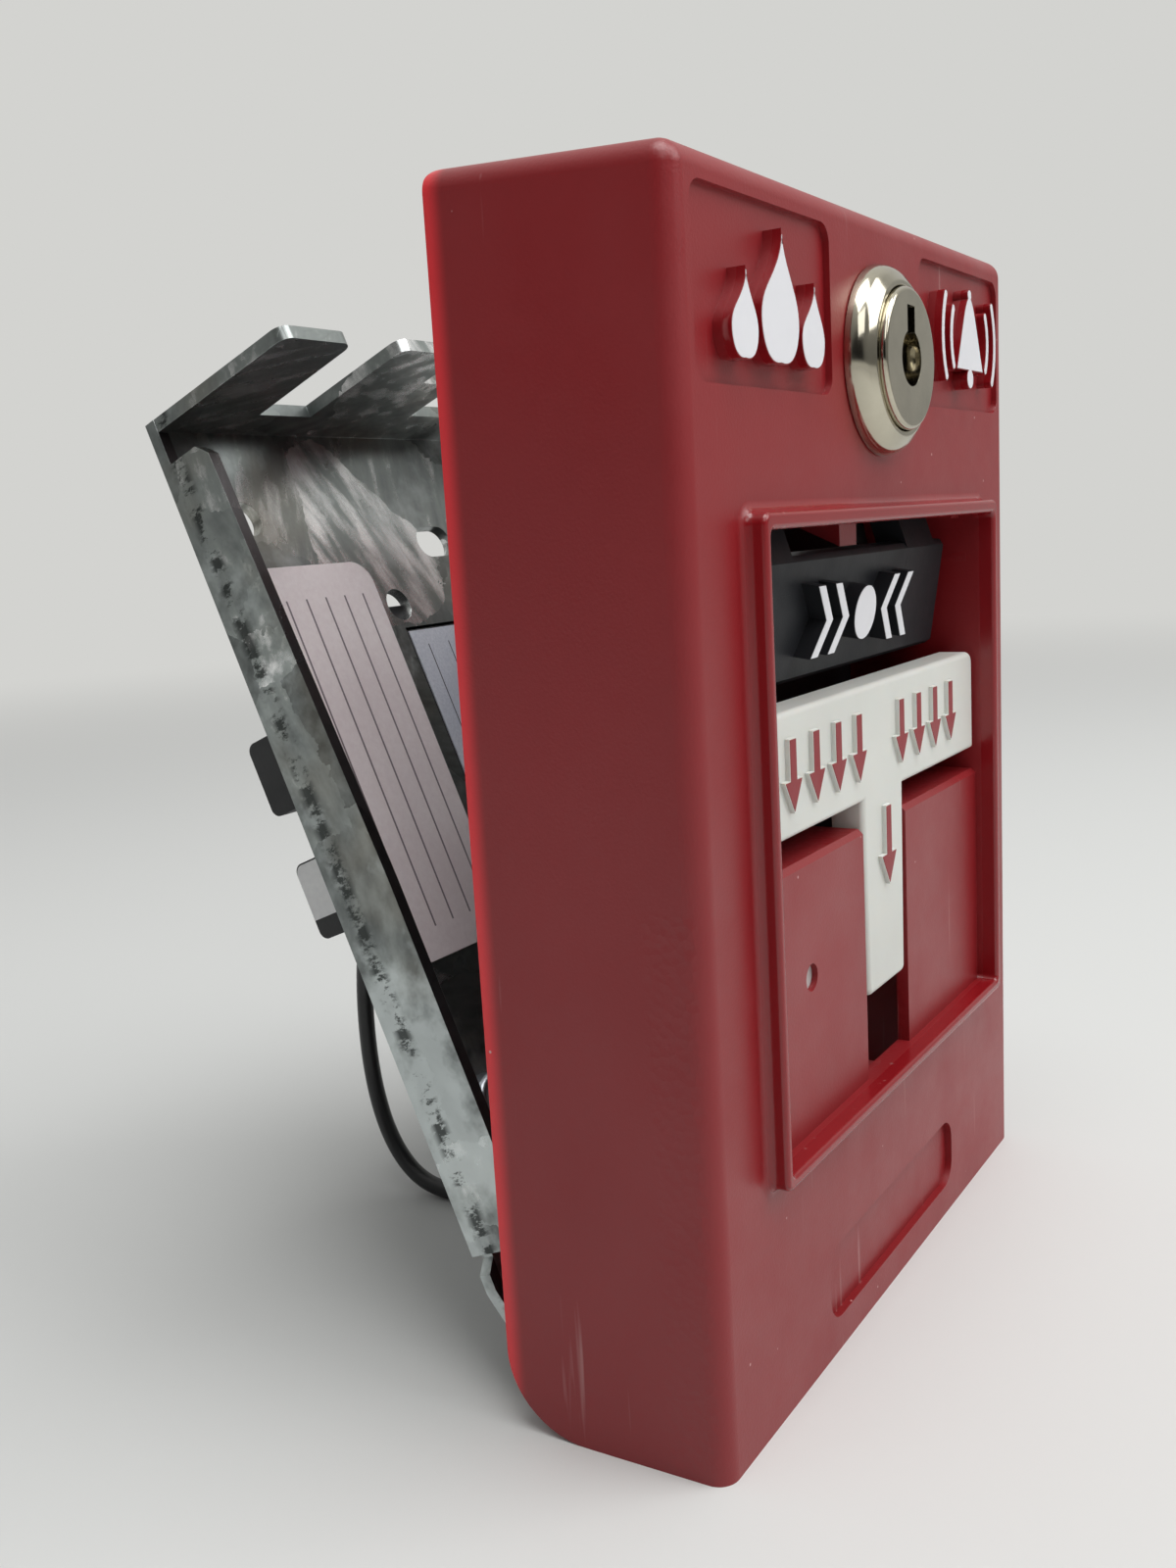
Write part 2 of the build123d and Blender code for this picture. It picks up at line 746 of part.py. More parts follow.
with BuildPart() as handle_pivot_pin:
    with BuildSketch(Plane.YZ):
        with Locations((lever_pivot_y, lever_pivot_z)):
            Circle(lever_pin_radius)
    extrude(amount=lever_pin_half, both=True)
    for side in (-1, 1):
        with BuildSketch(Plane.YZ.offset(side * lever_boss_outer)):
            with Locations((lever_pivot_y, lever_pivot_z)):
                Circle(2 * lever_pin_radius)
                Circle(lever_pin_radius - clip_groove, mode=Mode.SUBTRACT)
        extrude(amount=side * clip_thick, mode=Mode.SUBTRACT)
write("handle_pivot_pin", handle_pivot_pin)

rod_half = rod_lug_outer + 2 * clip_thick

with BuildPart() as push_plate_rod:
    with BuildSketch(Plane.YZ):
        with Locations((rod_y, rod_z)):
            Circle(rod_radius)
    extrude(amount=rod_half, both=True)
    for side in (-1, 1):
        with BuildSketch(Plane.YZ.offset(side * rod_lug_outer)):
            with Locations((rod_y, rod_z)):
                Circle(2 * rod_radius)
                Circle(rod_radius - clip_groove, mode=Mode.SUBTRACT)
        extrude(amount=side * clip_thick, mode=Mode.SUBTRACT)
write("push_plate_rod", push_plate_rod)

with BuildPart() as pin_clips:
    for y, z, radius, seat in (
        (lever_pivot_y, lever_pivot_z, lever_pin_radius, lever_boss_outer),
        (rod_y, rod_z, rod_radius, rod_lug_outer),
    ):
        for side in (-1, 1):
            with BuildSketch(Plane.YZ.offset(side * seat)):
                with Locations((y, z)):
                    Circle(radius + 1.2)
                    Circle(radius - clip_groove + fixed_fit, mode=Mode.SUBTRACT)
                    Rectangle(
                        1.2 * radius, 2 * radius + 3, align=(Align.CENTER, Align.MAX), mode=Mode.SUBTRACT
                    )
            extrude(amount=side * clip_thick)
write("pin_clips", pin_clips)

# =================================================================== leaf springs

leaf = 0.4
leaf_gap = 0.3
push_leaf_half = 2.5
detent_leaf_half = 3.0
detent_leaf_top = 36.6

# The push plate's rear face, from which the leaf's free end keeps a small gap.
push_back_y = push_top_y + push_thick / cos(radians(push_tilt))
leaf_tip_z = push_top_z - 4.5
leaf_tip_y = push_back_y + (push_top_z - leaf_tip_z) * tan(radians(push_tilt)) + leaf_gap

with BuildPart() as push_plate_springs:
    for side in (-1, 1):
        with BuildSketch(Plane.YZ.offset(side * spring_post_x - push_leaf_half)):
            with BuildLine():
                Polyline(
                    (spring_post_y, spring_post_bottom + spring_post_height),
                    (spring_post_y, spring_post_bottom),
                    (leaf_tip_y, leaf_tip_z),
                    (leaf_tip_y + leaf, leaf_tip_z),
                    (spring_post_y + leaf, spring_post_bottom),
                    (spring_post_y + leaf, spring_post_bottom + spring_post_height),
                    close=True,
                )
            make_face()
        extrude(amount=2 * push_leaf_half)
write("push_plate_springs", push_plate_springs)

with BuildPart() as handle_detent_spring:
    with BuildSketch(Plane.YZ):
        with BuildLine():
            Polyline(
                (detent_post_y, detent_post_bottom),
                (detent_post_y, detent_leaf_top - 2),
                (detent_post_y + 1, detent_leaf_top),
                (detent_post_y + 1 + leaf, detent_leaf_top),
                (detent_post_y + leaf, detent_leaf_top - 2),
                (detent_post_y + leaf, detent_post_bottom),
                close=True,
            )
        make_face()
    extrude(amount=detent_leaf_half, both=True)
write("handle_detent_spring", handle_detent_spring)

# =================================================================== push plate

push_up = Vector(0, -sin(radians(push_tilt)), cos(radians(push_tilt)))
push_out = Vector(0, -cos(radians(push_tilt)), -sin(radians(push_tilt)))
push_top = Vector(0, push_top_y, push_top_z)
push_face = Plane(origin=push_top - push_up * (push_height / 2), x_dir=(1, 0, 0), z_dir=push_out)
push_mark_height = 8.0
push_disc_radius = 3.2
push_chevron_x = (7.4, 12.0)
push_chevron_width = 5.2
push_chevron_stroke = 2.0

with BuildPart() as push_plate:
    with BuildSketch(push_face):
        RectangleRounded(2 * push_half, push_height, push_corner)
    extrude(amount=-push_thick)
    lower_front = push_plate.faces().sort_by(Axis.Y)[0].edges().filter_by(Axis.X).sort_by(Axis.Z)[0]
    chamfer(lower_front, push_edge)
    for side in (-1, 1):
        start = side * ear_inner
        with BuildSketch(Plane.YZ.offset(start)):
            with BuildLine():
                Polyline(
                    (push_top_y + 0.6, push_top_z - 4),
                    (push_top_y + 0.1, push_top_z - 0.6),
                    (rod_y - knuckle_radius, rod_z),
                    (rod_y + knuckle_radius, rod_z),
                    (push_back_y + 0.4, push_top_z - 4),
                    close=True,
                )
            make_face()
            with Locations((rod_y, rod_z)):
                Circle(knuckle_radius)
                Circle(rod_radius + running_fit, mode=Mode.SUBTRACT)
        extrude(amount=side * (ear_outer - ear_inner))

    # Raised marks: a disc between pairs of chevrons that point at it.
    with BuildSketch(push_face.offset(-0.2)):
        Circle(push_disc_radius)
        for side, turned in ((-1, 0), (1, 180)):
            with Locations([Location((side * x, 0, 0), (0, 0, turned)) for x in push_chevron_x]):
                add(chevron(push_chevron_width, push_mark_height, push_chevron_stroke))
    extrude(amount=push_relief + 0.2)
write("push_plate", push_plate)

# =================================================================== mounting plate frame

lean = radians(rest_opening)
plate_up = Vector(0, sin(lean), cos(lean))
plate_out = Vector(0, -cos(lean), sin(lean))
hinge = Vector(0, hinge_y, hinge_z)
plate_origin = hinge - plate_out * web_to_hinge


def on_plate(n):
    """Plane parallel to the web, n in front of its rear face: its sketches use (x, p)."""
    return Plane(origin=plate_origin + plate_out * n, x_dir=(1, 0, 0), z_dir=plate_out)


def across_plate(x):
    """Plane across the plate at x: its sketches use (p, n)."""
    return Plane(origin=plate_origin + Vector(x, 0, 0), x_dir=plate_up, z_dir=(1, 0, 0))


plate_half = 45.0
flange_bottom = 13.8
flange_top = 106.7
flange_depth = 8.9
flange_top_depth = 7.4
flange_taper_p = 55.0
flange_corner = 1.5
flange_foot_length = 3.0
flange_foot_depth = 6.6
top_flange_under = 110.6
top_flange_depth = 22.5
top_flange_narrowing = 0.8
bend_outside = 1.6
notch_half = 14.2
notch_start = 15.8
strike_half = 7.9
strike_start = 7.8
strike_end = 13.6
side_slot_inner = 25.2
side_slot_outer = 33.6
side_slot_start = 6.3
finger_corner = 1.5
web_foot = 6.0
web_foot_half = plate_half - 12.0
hook_width = 6.2
hook_inner_radius = trunnion_radius + hook_clearance
hook_outer_radius = hook_inner_radius + sheet
hook_bend_p = 9.5
hook_end_angle = 82.0
box_hole_spacing = 83.3  # single-gang box screws
box_slot_p = 95.7
box_slot_x = -4.75
box_slot_length = 6.9
box_hole_radius = 2.1
corner_hole_x = plate_half - 8.2
corner_hole_p = 99.9
spare_hole_x = -16.7
spare_hole_p = 87.6
ground_x = 10.0 - plate_half
ground_p = 27.3
ground_shank = 1.9
switch_p = 33.5
switch_half = 13.0
switch_height = 12.0
switch_rear_half = 8.0
switch_rear_height = 9.0
switch_front = 8.5
switch_rear = -6.0
switch_screw_x = 10.5
switch_screw_radius = 1.5
window_fit = 0.2
pad_left = -17.0
pad_right = plate_half - 15.5
pad_bottom = 46.5
pad_top = 84.3
led_radius = 1.5
led_p = light_z - hinge_z
module_screw_x = plate_half - 7.0
module_screw_p = (58.0, 74.0)
module_screw_radius = 1.5

top_flange_outer = top_flange_under + sheet

# Where the hook's outer face leaves the straight strip and meets its round end.
centre_distance = sqrt(hook_bend_p**2 + web_to_hinge**2)
bend_angle = degrees(atan2(web_to_hinge, hook_bend_p)) - degrees(
    atan2(hook_outer_radius, sqrt(centre_distance**2 - hook_outer_radius**2))
)
bend = radians(bend_angle)


def hook_point(radius, angle):
    """Point of the hook's round end, in (p, n), at an angle from the plate's upward direction."""
    return (radius * cos(angle), web_to_hinge + radius * sin(angle))


tangent_angle = -radians(90) - bend
hook_end = radians(hook_end_angle)
hook_middle = (tangent_angle + 2 * radians(180) + hook_end) / 2
inner_bend_p = hook_bend_p + sheet * tan(bend / 2)

with BuildPart() as mounting_plate:
    # Web: the flat sheet, with a tongue for the lower box screw and a strip above each hook.
    with BuildSketch(on_plate(0)):
        with BuildLine():
            Polyline(
                (-web_foot_half, web_foot),
                (web_foot_half, web_foot),
                (web_foot_half, flange_bottom + 2),
                (plate_half - hook_width, flange_bottom + 2),
                (plate_half - hook_width, hook_bend_p),
                (plate_half, hook_bend_p),
                (plate_half, flange_bottom - 2.2),
                (plate_half - 1.5, flange_bottom - 0.8),
                (plate_half - 1.5, flange_bottom),
                (plate_half, flange_bottom),
                (plate_half, top_flange_outer),
                (0, top_flange_outer),
            )
            mirror(about=Plane.YZ)
        make_face()
    extrude(amount=sheet)

    # Side flanges, a little shallower at their foot.
    for side in (-1, 1):
        with BuildSketch(across_plate(side * plate_half)):
            with BuildLine():
                Polyline(
                    (flange_bottom, 0),
                    (flange_bottom, flange_foot_depth),
                    (flange_bottom + flange_foot_length, flange_depth),
                    (flange_taper_p, flange_depth),
                    (flange_top - flange_corner, flange_top_depth),
                    (flange_top, flange_top_depth - flange_corner),
                    (flange_top, 0),
                    close=True,
                )
            make_face()
        extrude(amount=-side * sheet)

    # Top flange: two fingers each side, the lock's notch and the window that its cam enters.
    flange_plane = Plane(
        origin=plate_origin + plate_up * top_flange_under, x_dir=(1, 0, 0), z_dir=-plate_up
    )
    front_half = plate_half - top_flange_narrowing
    with BuildSketch(flange_plane) as top_flange:
        with BuildLine():
            Polyline(
                (-plate_half, 0),
                (plate_half, 0),
                (front_half, top_flange_depth),
                (-front_half, top_flange_depth),
                close=True,
            )
        make_face()
        with Locations((0, notch_start)):
            Rectangle(2 * notch_half, top_flange_depth, align=(Align.CENTER, Align.MIN), mode=Mode.SUBTRACT)
        with Locations((0, strike_start)):
            Rectangle(
                2 * strike_half, strike_end - strike_start,
                align=(Align.CENTER, Align.MIN), mode=Mode.SUBTRACT,
            )
        slot_x = (side_slot_inner + side_slot_outer) / 2
        with Locations((-slot_x, side_slot_start), (slot_x, side_slot_start)):
            Rectangle(
                side_slot_outer - side_slot_inner,
                top_flange_depth,
                align=(Align.CENTER, Align.MIN),
                mode=Mode.SUBTRACT,
            )
        fillet(top_flange.vertices().group_by(Axis.Y)[-1], finger_corner)
    extrude(amount=-sheet)

    # Hooks round the trunnions.
    for side in (-1, 1):
        with BuildSketch(across_plate(side * plate_half)):
            with BuildLine():
                Polyline(
                    hook_point(hook_inner_radius, hook_end),
                    hook_point(hook_outer_radius, hook_end),
                )
                ThreePointArc(
                    hook_point(hook_outer_radius, hook_end),
                    hook_point(hook_outer_radius, hook_middle),
                    hook_point(hook_outer_radius, tangent_angle),
                )
                Polyline(
                    hook_point(hook_outer_radius, tangent_angle),
                    (hook_bend_p, 0),
                    (hook_bend_p + 0.5, 0),
                    (hook_bend_p + 0.5, sheet),
                    (inner_bend_p, sheet),
                    hook_point(hook_inner_radius, tangent_angle),
                )
                ThreePointArc(
                    hook_point(hook_inner_radius, tangent_angle),
                    hook_point(hook_inner_radius, hook_middle),
                    hook_point(hook_inner_radius, hook_end),
                )
            make_face()
        extrude(amount=-side * hook_width)

    # Holes in the web: box screws, corner and spare holes, screws, and the windows.
    with BuildSketch(on_plate(0)):
        with Locations((box_slot_x, box_slot_p)):
            SlotOverall(box_slot_length, 2 * box_hole_radius)
        with Locations((box_slot_x, box_slot_p - box_hole_spacing)):
            Circle(box_hole_radius)
        with Locations((-corner_hole_x, corner_hole_p), (corner_hole_x, corner_hole_p)):
            Circle(box_hole_radius)
        with Locations((spare_hole_x, spare_hole_p)):
            Circle(box_hole_radius)
        with Locations((ground_x, ground_p)):
            Circle(ground_shank + fixed_fit)
        with Locations((-switch_screw_x, switch_p), (switch_screw_x, switch_p)):
            Circle(switch_screw_radius + fixed_fit)
        with Locations((0, switch_p)):
            Rectangle(2 * switch_rear_half + 2 * window_fit, switch_rear_height + 2 * window_fit)
        with Locations(((pad_left + pad_right) / 2, (pad_bottom + pad_top) / 2)):
            Rectangle(pad_right - pad_left + 2 * window_fit, pad_top - pad_bottom + 2 * window_fit)
        with Locations((light_x, led_p)):
            Circle(led_radius + 2 * running_fit)
        with Locations([(module_screw_x, p) for p in module_screw_p]):
            Circle(module_screw_radius + fixed_fit)
    extrude(amount=sheet, mode=Mode.SUBTRACT)
write("mounting_plate", mounting_plate)


def plate_point(x, p, n):
    """Point at x, p up the plate and n in front of the web's rear face."""
    return Vector(x, 0, 0) + plate_origin + plate_up * p + plate_out * n


def pan_screws(places, seat, radius, head_radius, head, length, cross):
    """Cross-slotted pan-head screws driven from the plate's front.

    places holds each axis across and up the plate, and seat is the height that the heads bear on.
    """
    with BuildPart() as screws:
        with BuildSketch(on_plate(seat)):
            with Locations(places):
                Circle(head_radius)
        extrude(amount=head)
        fillet(screws.edges().group_by(SortBy.LENGTH)[-1].filter_by(
            lambda e: (e.center() - plate_origin).dot(plate_out) > seat + head / 2), head / 3)
        with BuildSketch(on_plate(seat)):
            with Locations(places):
                Circle(radius)
        extrude(amount=-length)
        with BuildSketch(on_plate(seat + head)):
            with Locations(places):
                Rectangle(2 * cross, cross / 3)
                Rectangle(cross / 3, 2 * cross)
        extrude(amount=-head / 2, mode=Mode.SUBTRACT)
    return screws


# =================================================================== switch

plunger_radius = 1.45
plunger_tip = 10.1
plunger_travel = 1.5
plunger_inside = 3.3
switch_screw_head_radius = 2.4
switch_screw_head = 1.6
switch_screw_length = 10.0
switch_screw_cross = 1.5
ground_head_radius = 3.7
ground_head = 2.3
ground_length = 6.0
ground_cross = 2.1

with BuildPart() as switch_body:
    with BuildSketch(on_plate(sheet)):
        with Locations((0, switch_p)):
            Rectangle(2 * switch_half, switch_height)
    extrude(amount=switch_front - sheet)
    with BuildSketch(on_plate(switch_rear)):
        with Locations((0, switch_p)):
            Rectangle(2 * switch_rear_half, switch_rear_height)
    extrude(amount=sheet - switch_rear)
    with BuildSketch(on_plate(switch_front)):
        with Locations((0, switch_p)):
            Circle(plunger_radius + running_fit)
    extrude(amount=-(plunger_inside + plunger_travel + leaf_gap), mode=Mode.SUBTRACT)
    with BuildSketch(on_plate(switch_front)):
        with Locations((-switch_screw_x, switch_p), (switch_screw_x, switch_p)):
            Circle(switch_screw_radius + fixed_fit)
    extrude(amount=-(switch_front - sheet), mode=Mode.SUBTRACT)
write("switch_body", switch_body)

with BuildPart() as switch_plunger:
    with BuildSketch(on_plate(plunger_tip)):
        with Locations((0, switch_p)):
            Circle(plunger_radius)
    extrude(amount=-(plunger_tip - switch_front + plunger_inside))
    fillet(switch_plunger.edges().group_by(Axis.Y)[0], 0.5)
write("switch_plunger", switch_plunger)

switch_screws = pan_screws(
    [(-switch_screw_x, switch_p), (switch_screw_x, switch_p)],
    seat=switch_front,
    radius=switch_screw_radius,
    head_radius=switch_screw_head_radius,
    head=switch_screw_head,
    length=switch_screw_length,
    cross=switch_screw_cross,
)
write("switch_screws", switch_screws)

ground_screw = pan_screws(
    [(ground_x, ground_p)],
    seat=sheet,
    radius=ground_shank,
    head_radius=ground_head_radius,
    head=ground_head,
    length=ground_length,
    cross=ground_cross,
)
write("ground_screw", ground_screw)

# Three flat terminals on the back of the switch, turned down; receptacles push onto two of them.
terminal_pitch = 5.9
terminal_half = 2.0
terminal_thick = 0.8
terminal_n = -8.0
receptacle_half = 2.8
receptacle_depth = 3.4
receptacle_bottom = 20.0
receptacle_length = 8.0
receptacle_top = receptacle_bottom + receptacle_length

with BuildPart() as switch_terminals:
    for x in (-terminal_pitch, 0, terminal_pitch):
        with BuildSketch(across_plate(x - terminal_half)):
            with BuildLine():
                Polyline(
                    (receptacle_top, terminal_n - terminal_thick / 2),
                    (switch_p, terminal_n - terminal_thick / 2),
                    (switch_p, switch_rear),
                    (switch_p - terminal_thick, switch_rear),
                    (switch_p - terminal_thick, terminal_n + terminal_thick / 2),
                    (receptacle_top, terminal_n + terminal_thick / 2),
                    close=True,
                )
            make_face()
        extrude(amount=2 * terminal_half)
write("switch_terminals", switch_terminals)

with BuildPart() as lead_receptacles:
    for x in (0, terminal_pitch):
        with BuildSketch(across_plate(x - receptacle_half)):
            with Locations((receptacle_bottom, terminal_n)):
                Rectangle(receptacle_length, receptacle_depth, align=(Align.MIN, Align.CENTER))
        extrude(amount=2 * receptacle_half)
write("lead_receptacles", lead_receptacles)

# =================================================================== module behind the plate

module_left = -22.0
module_right = plate_half - 11.0
module_bottom = 43.8
module_top = 88.0
module_depth = 15.0
module_wall = 1.6
module_lid = 2.0
module_ear_left = -34.0
module_ears = ((51.8, 61.5), (67.8, 77.3))
ear_corner = 1.2
led_leg_half = 3.0
led_leg_bottom = 34.5
led_leg_depth = 8.0
led_flange_radius = 1.9
led_flange = 1.0
led_seat = 2.2
led_proud = 3.1
lug_right = plate_half - 3.0
lug_bottom = 53.0
module_screw_head_radius = 2.8
module_screw_head = 1.9
module_screw_cross = 1.6
lug_top = 79.0
lug_thick = 3.2
bushing_x = (-6.0, 0.5)
bushing_p = 58.0
bushing_neck = 2.2
bushing_flange_radius = 3.0
bushing_flange = 1.2
board_thick = 1.6
board_n = -9.6
board_gap = 1.0
board_post_radius = 2.0
module_middle_x = (module_left + module_right) / 2
module_middle_p = (module_bottom + module_top) / 2
module_width = module_right - module_left
module_height = module_top - module_bottom

with BuildPart() as module_housing:
    with BuildSketch(on_plate(-module_depth)):
        with Locations((module_middle_x, module_middle_p)):
            RectangleRounded(module_width, module_height, 1.0)
    extrude(amount=module_depth - module_lid)
    for low, high in module_ears:
        with BuildSketch(across_plate(module_ear_left)) as ear:
            with Locations((low, -module_depth)):
                Rectangle(high - low, module_depth, align=(Align.MIN, Align.MIN))
            fillet(ear.vertices().group_by(Axis.Y)[0], ear_corner)
        extrude(amount=module_left - module_ear_left + module_wall)
    with BuildSketch(on_plate(0)):
        with Locations((module_right - module_wall / 2, lug_bottom)):
            Rectangle(
                lug_right - module_right + module_wall / 2, lug_top - lug_bottom, align=(Align.MIN, Align.MIN)
            )
        with Locations((light_x, led_leg_bottom)):
            Rectangle(2 * led_leg_half, module_bottom - led_leg_bottom + 1, align=(Align.CENTER, Align.MIN))
    extrude(amount=-lug_thick)
    with BuildSketch(on_plate(-lug_thick)):
        with Locations((light_x, led_leg_bottom)):
            Rectangle(2 * led_leg_half, module_bottom - led_leg_bottom + 1, align=(Align.CENTER, Align.MIN))
    extrude(amount=-(led_leg_depth - lug_thick))
    with BuildSketch(on_plate(-module_lid)):
        with Locations((module_middle_x, module_middle_p)):
            Rectangle(module_width - 2 * module_wall, module_height - 2 * module_wall)
    extrude(amount=-(module_depth - module_lid - module_wall), mode=Mode.SUBTRACT)
    # Everything in front of the lid's seat gives way to the lid.
    with BuildSketch(on_plate(0)):
        with Locations((module_middle_x, module_middle_p)):
            Rectangle(module_width, module_height)
    extrude(amount=-module_lid, mode=Mode.SUBTRACT)
    with BuildSketch(on_plate(0)):
        with Locations((light_x, led_p)):
            Circle(led_flange_radius + fixed_fit)
    extrude(amount=-led_seat, mode=Mode.SUBTRACT)
    with BuildSketch(on_plate(0)):
        with Locations([(module_screw_x, p) for p in module_screw_p]):
            Circle(module_screw_radius + fixed_fit)
    extrude(amount=-lug_thick, mode=Mode.SUBTRACT)
    with BuildSketch(on_plate(-module_depth)):
        with Locations([(x, bushing_p) for x in bushing_x]):
            Circle(bushing_neck + fixed_fit)
    extrude(amount=module_wall, mode=Mode.SUBTRACT)
    # Posts that carry the circuit board.
    post_x = module_width / 2 - module_wall - board_gap - board_post_radius
    post_p = module_height / 2 - module_wall - board_gap - board_post_radius
    with BuildSketch(on_plate(-module_depth + module_wall)):
        with Locations((module_middle_x, module_middle_p)):
            with GridLocations(2 * post_x, 2 * post_p, 2, 2):
                Circle(board_post_radius)
    extrude(amount=module_depth - module_wall + board_n)
write("module_housing", module_housing)

with BuildPart() as module_cover:
    with BuildSketch(on_plate(-module_lid)):
        with Locations((module_middle_x, module_middle_p)):
            Rectangle(module_width, module_height)
    extrude(amount=module_lid)
    with BuildSketch(on_plate(0)):
        with Locations(((pad_left + pad_right) / 2, (pad_bottom + pad_top) / 2)):
            Rectangle(pad_right - pad_left, pad_top - pad_bottom)
    extrude(amount=sheet - 0.3)
write("module_cover", module_cover)

with BuildPart() as module_circuit_board:
    with BuildSketch(on_plate(board_n)):
        with Locations((module_middle_x, module_middle_p)):
            Rectangle(
                module_width - 2 * (module_wall + board_gap), module_height - 2 * (module_wall + board_gap)
            )
    extrude(amount=board_thick)
    with BuildSketch(on_plate(board_n + board_thick)):
        with Locations((module_middle_x, module_middle_p)):
            Rectangle(12, 12)
            with Locations((-16, 8), (16, 8), (16, -8)):
                Rectangle(7, 5)
    extrude(amount=2.0)
write("module_circuit_board", module_circuit_board)

with BuildPart() as status_led:
    with BuildSketch(on_plate(-led_seat + led_flange)):
        with Locations((light_x, led_p)):
            Circle(led_flange_radius)
    extrude(amount=-led_flange)
    with BuildSketch(on_plate(-led_seat)):
        with Locations((light_x, led_p)):
            Circle(led_radius)
    extrude(amount=led_seat + sheet + led_proud)
    fillet(status_led.edges().group_by(Axis.Y)[0], 0.9 * led_radius)
write("status_led", status_led)

module_screws = pan_screws(
    [(module_screw_x, p) for p in module_screw_p],
    seat=sheet,
    radius=module_screw_radius,
    head_radius=module_screw_head_radius,
    head=module_screw_head,
    length=sheet + lug_thick,
    cross=module_screw_cross,
)
write("module_screws", module_screws)

with BuildPart() as lead_bushings:
    with BuildSketch(on_plate(-module_depth)):
        with Locations([(x, bushing_p) for x in bushing_x]):
            Circle(bushing_flange_radius)
    extrude(amount=-bushing_flange)
    fillet(lead_bushings.edges().group_by(Axis.Y)[-1], 0.4)
    with BuildSketch(on_plate(-module_depth)):
        with Locations([(x, bushing_p) for x in bushing_x]):
            Circle(bushing_neck)
    extrude(amount=module_wall)
write("lead_bushings", lead_bushings)

# Terminal block on the back of the module, four wire ports along its top.
block_left = 5.0
block_bottom = 73.0
block_height = 10.0
block_depth = 8.0
block_pitch = 6.4
block_poles = 4
port_half = 1.7
terminal_screw_radius = 1.9
terminal_screw_sunk = 1.0
block_width = block_poles * block_pitch
block_back = -module_depth - block_depth
pole_level = block_bottom + 0.4 * block_height
pole_places = [(block_left + (i + 0.5) * block_pitch, pole_level) for i in range(block_poles)]

with BuildPart() as terminal_block:
    with BuildSketch(on_plate(-module_depth)):
        with Locations((block_left, block_bottom)):
            Rectangle(block_width, block_height, align=(Align.MIN, Align.MIN))
    extrude(amount=-block_depth)
    chamfer(terminal_block.edges().filter_by(Axis.X).sort_by(Axis.Y)[-1], 1.2)
    with BuildSketch(on_plate(block_back)):
        with Locations(pole_places):
            Circle(terminal_screw_radius + fixed_fit)
    extrude(amount=0.75 * block_depth, mode=Mode.SUBTRACT)
    top_plane = Plane(
        origin=plate_origin + plate_up * (block_bottom + block_height), x_dir=(1, 0, 0), z_dir=-plate_up
    )
    with BuildSketch(top_plane):
        with Locations([(x, -module_depth - block_depth / 2) for x, _ in pole_places]):
            Rectangle(2 * port_half, 2 * port_half)
    extrude(amount=0.35 * block_height, mode=Mode.SUBTRACT)
write("terminal_block", terminal_block)

with BuildPart() as terminal_screws:
    with BuildSketch(on_plate(block_back + 0.75 * block_depth)):
        with Locations(pole_places):
            Circle(terminal_screw_radius)
    extrude(amount=-(0.75 * block_depth - terminal_screw_sunk))
    with BuildSketch(on_plate(block_back + terminal_screw_sunk)):
        with Locations(pole_places):
            Rectangle(2 * terminal_screw_radius, 0.6)
    extrude(amount=0.8, mode=Mode.SUBTRACT)
write("terminal_screws", terminal_screws)

# =================================================================== labels

label_thick = 0.2
label_left = 3.6 - plate_half
label_right = 25.1 - plate_half
label_bottom = 44.8
label_top = 93.7
label_corner = 3.0
side_label_p = (module_ears[0][0] + 2.6, module_ears[0][1] - 0.2)
side_label_n = (0.2 - module_depth, -0.8)
front_label_margin = 0.3
front_label_sunk = 0.3
front_label_cut = 4.5

with BuildPart() as plate_label:
    with BuildSketch(on_plate(sheet)):
        with Locations(((label_left + label_right) / 2, (label_bottom + label_top) / 2)):
            RectangleRounded(label_right - label_left, label_top - label_bottom, label_corner)
    extrude(amount=label_thick)
write("plate_label", plate_label)

with BuildPart() as module_front_label:
    with BuildSketch(on_plate(sheet - front_label_sunk)):
        left, right = pad_left + front_label_margin, pad_right - front_label_margin
        low, high = pad_bottom + front_label_margin, pad_top - front_label_margin
        with BuildLine():
            Polyline(
                (left, high),
                (left, low + front_label_cut),
                (left + front_label_cut, low),
                (right, low),
                (right, high),
                close=True,
            )
        make_face()
    extrude(amount=label_thick)
write("module_front_label", module_front_label)

with BuildPart() as module_side_label:
    with BuildSketch(across_plate(module_ear_left)) as side_outline:
        with Locations((side_label_p[0], side_label_n[0])):
            Rectangle(
                side_label_p[1] - side_label_p[0], side_label_n[1] - side_label_n[0],
                align=(Align.MIN, Align.MIN),
            )
        rear_corner = side_outline.vertices().group_by(Axis.Y)[0].sort_by(Axis.X)[-1]
        fillet(rear_corner, ear_corner)
    extrude(amount=-label_thick)
write("module_side_label", module_side_label)

# =================================================================== leads

black_radius = 1.2
white_radius = 1.1
lead_exit = 10.0
lead_entry = 9.0


def lead_points(x_start, x_end, middle):
    """Route of a lead: out of its bushing, the given points, and up into its receptacle."""
    exit_point = plate_point(x_start, bushing_p, -module_depth - bushing_flange)
    mouth = plate_point(x_end, receptacle_bottom, terminal_n)
    return [
        exit_point,
        exit_point - plate_out * lead_exit,
        *[Vector(*point) for point in middle],
        mouth - plate_up * lead_entry,
        mouth,
    ]


def corner_radii(points):
    """Largest easy arc at each corner of a route: 0.45 of its shorter run over tan(half the turn)."""
    radii = []
    for before, corner, after in zip(points, points[1:], points[2:]):
        turn = radians((corner - before).get_angle(after - corner))
        shorter = min((corner - before).length, (after - corner).length)
        radii.append(0.45 * shorter / tan(turn / 2))
    return radii


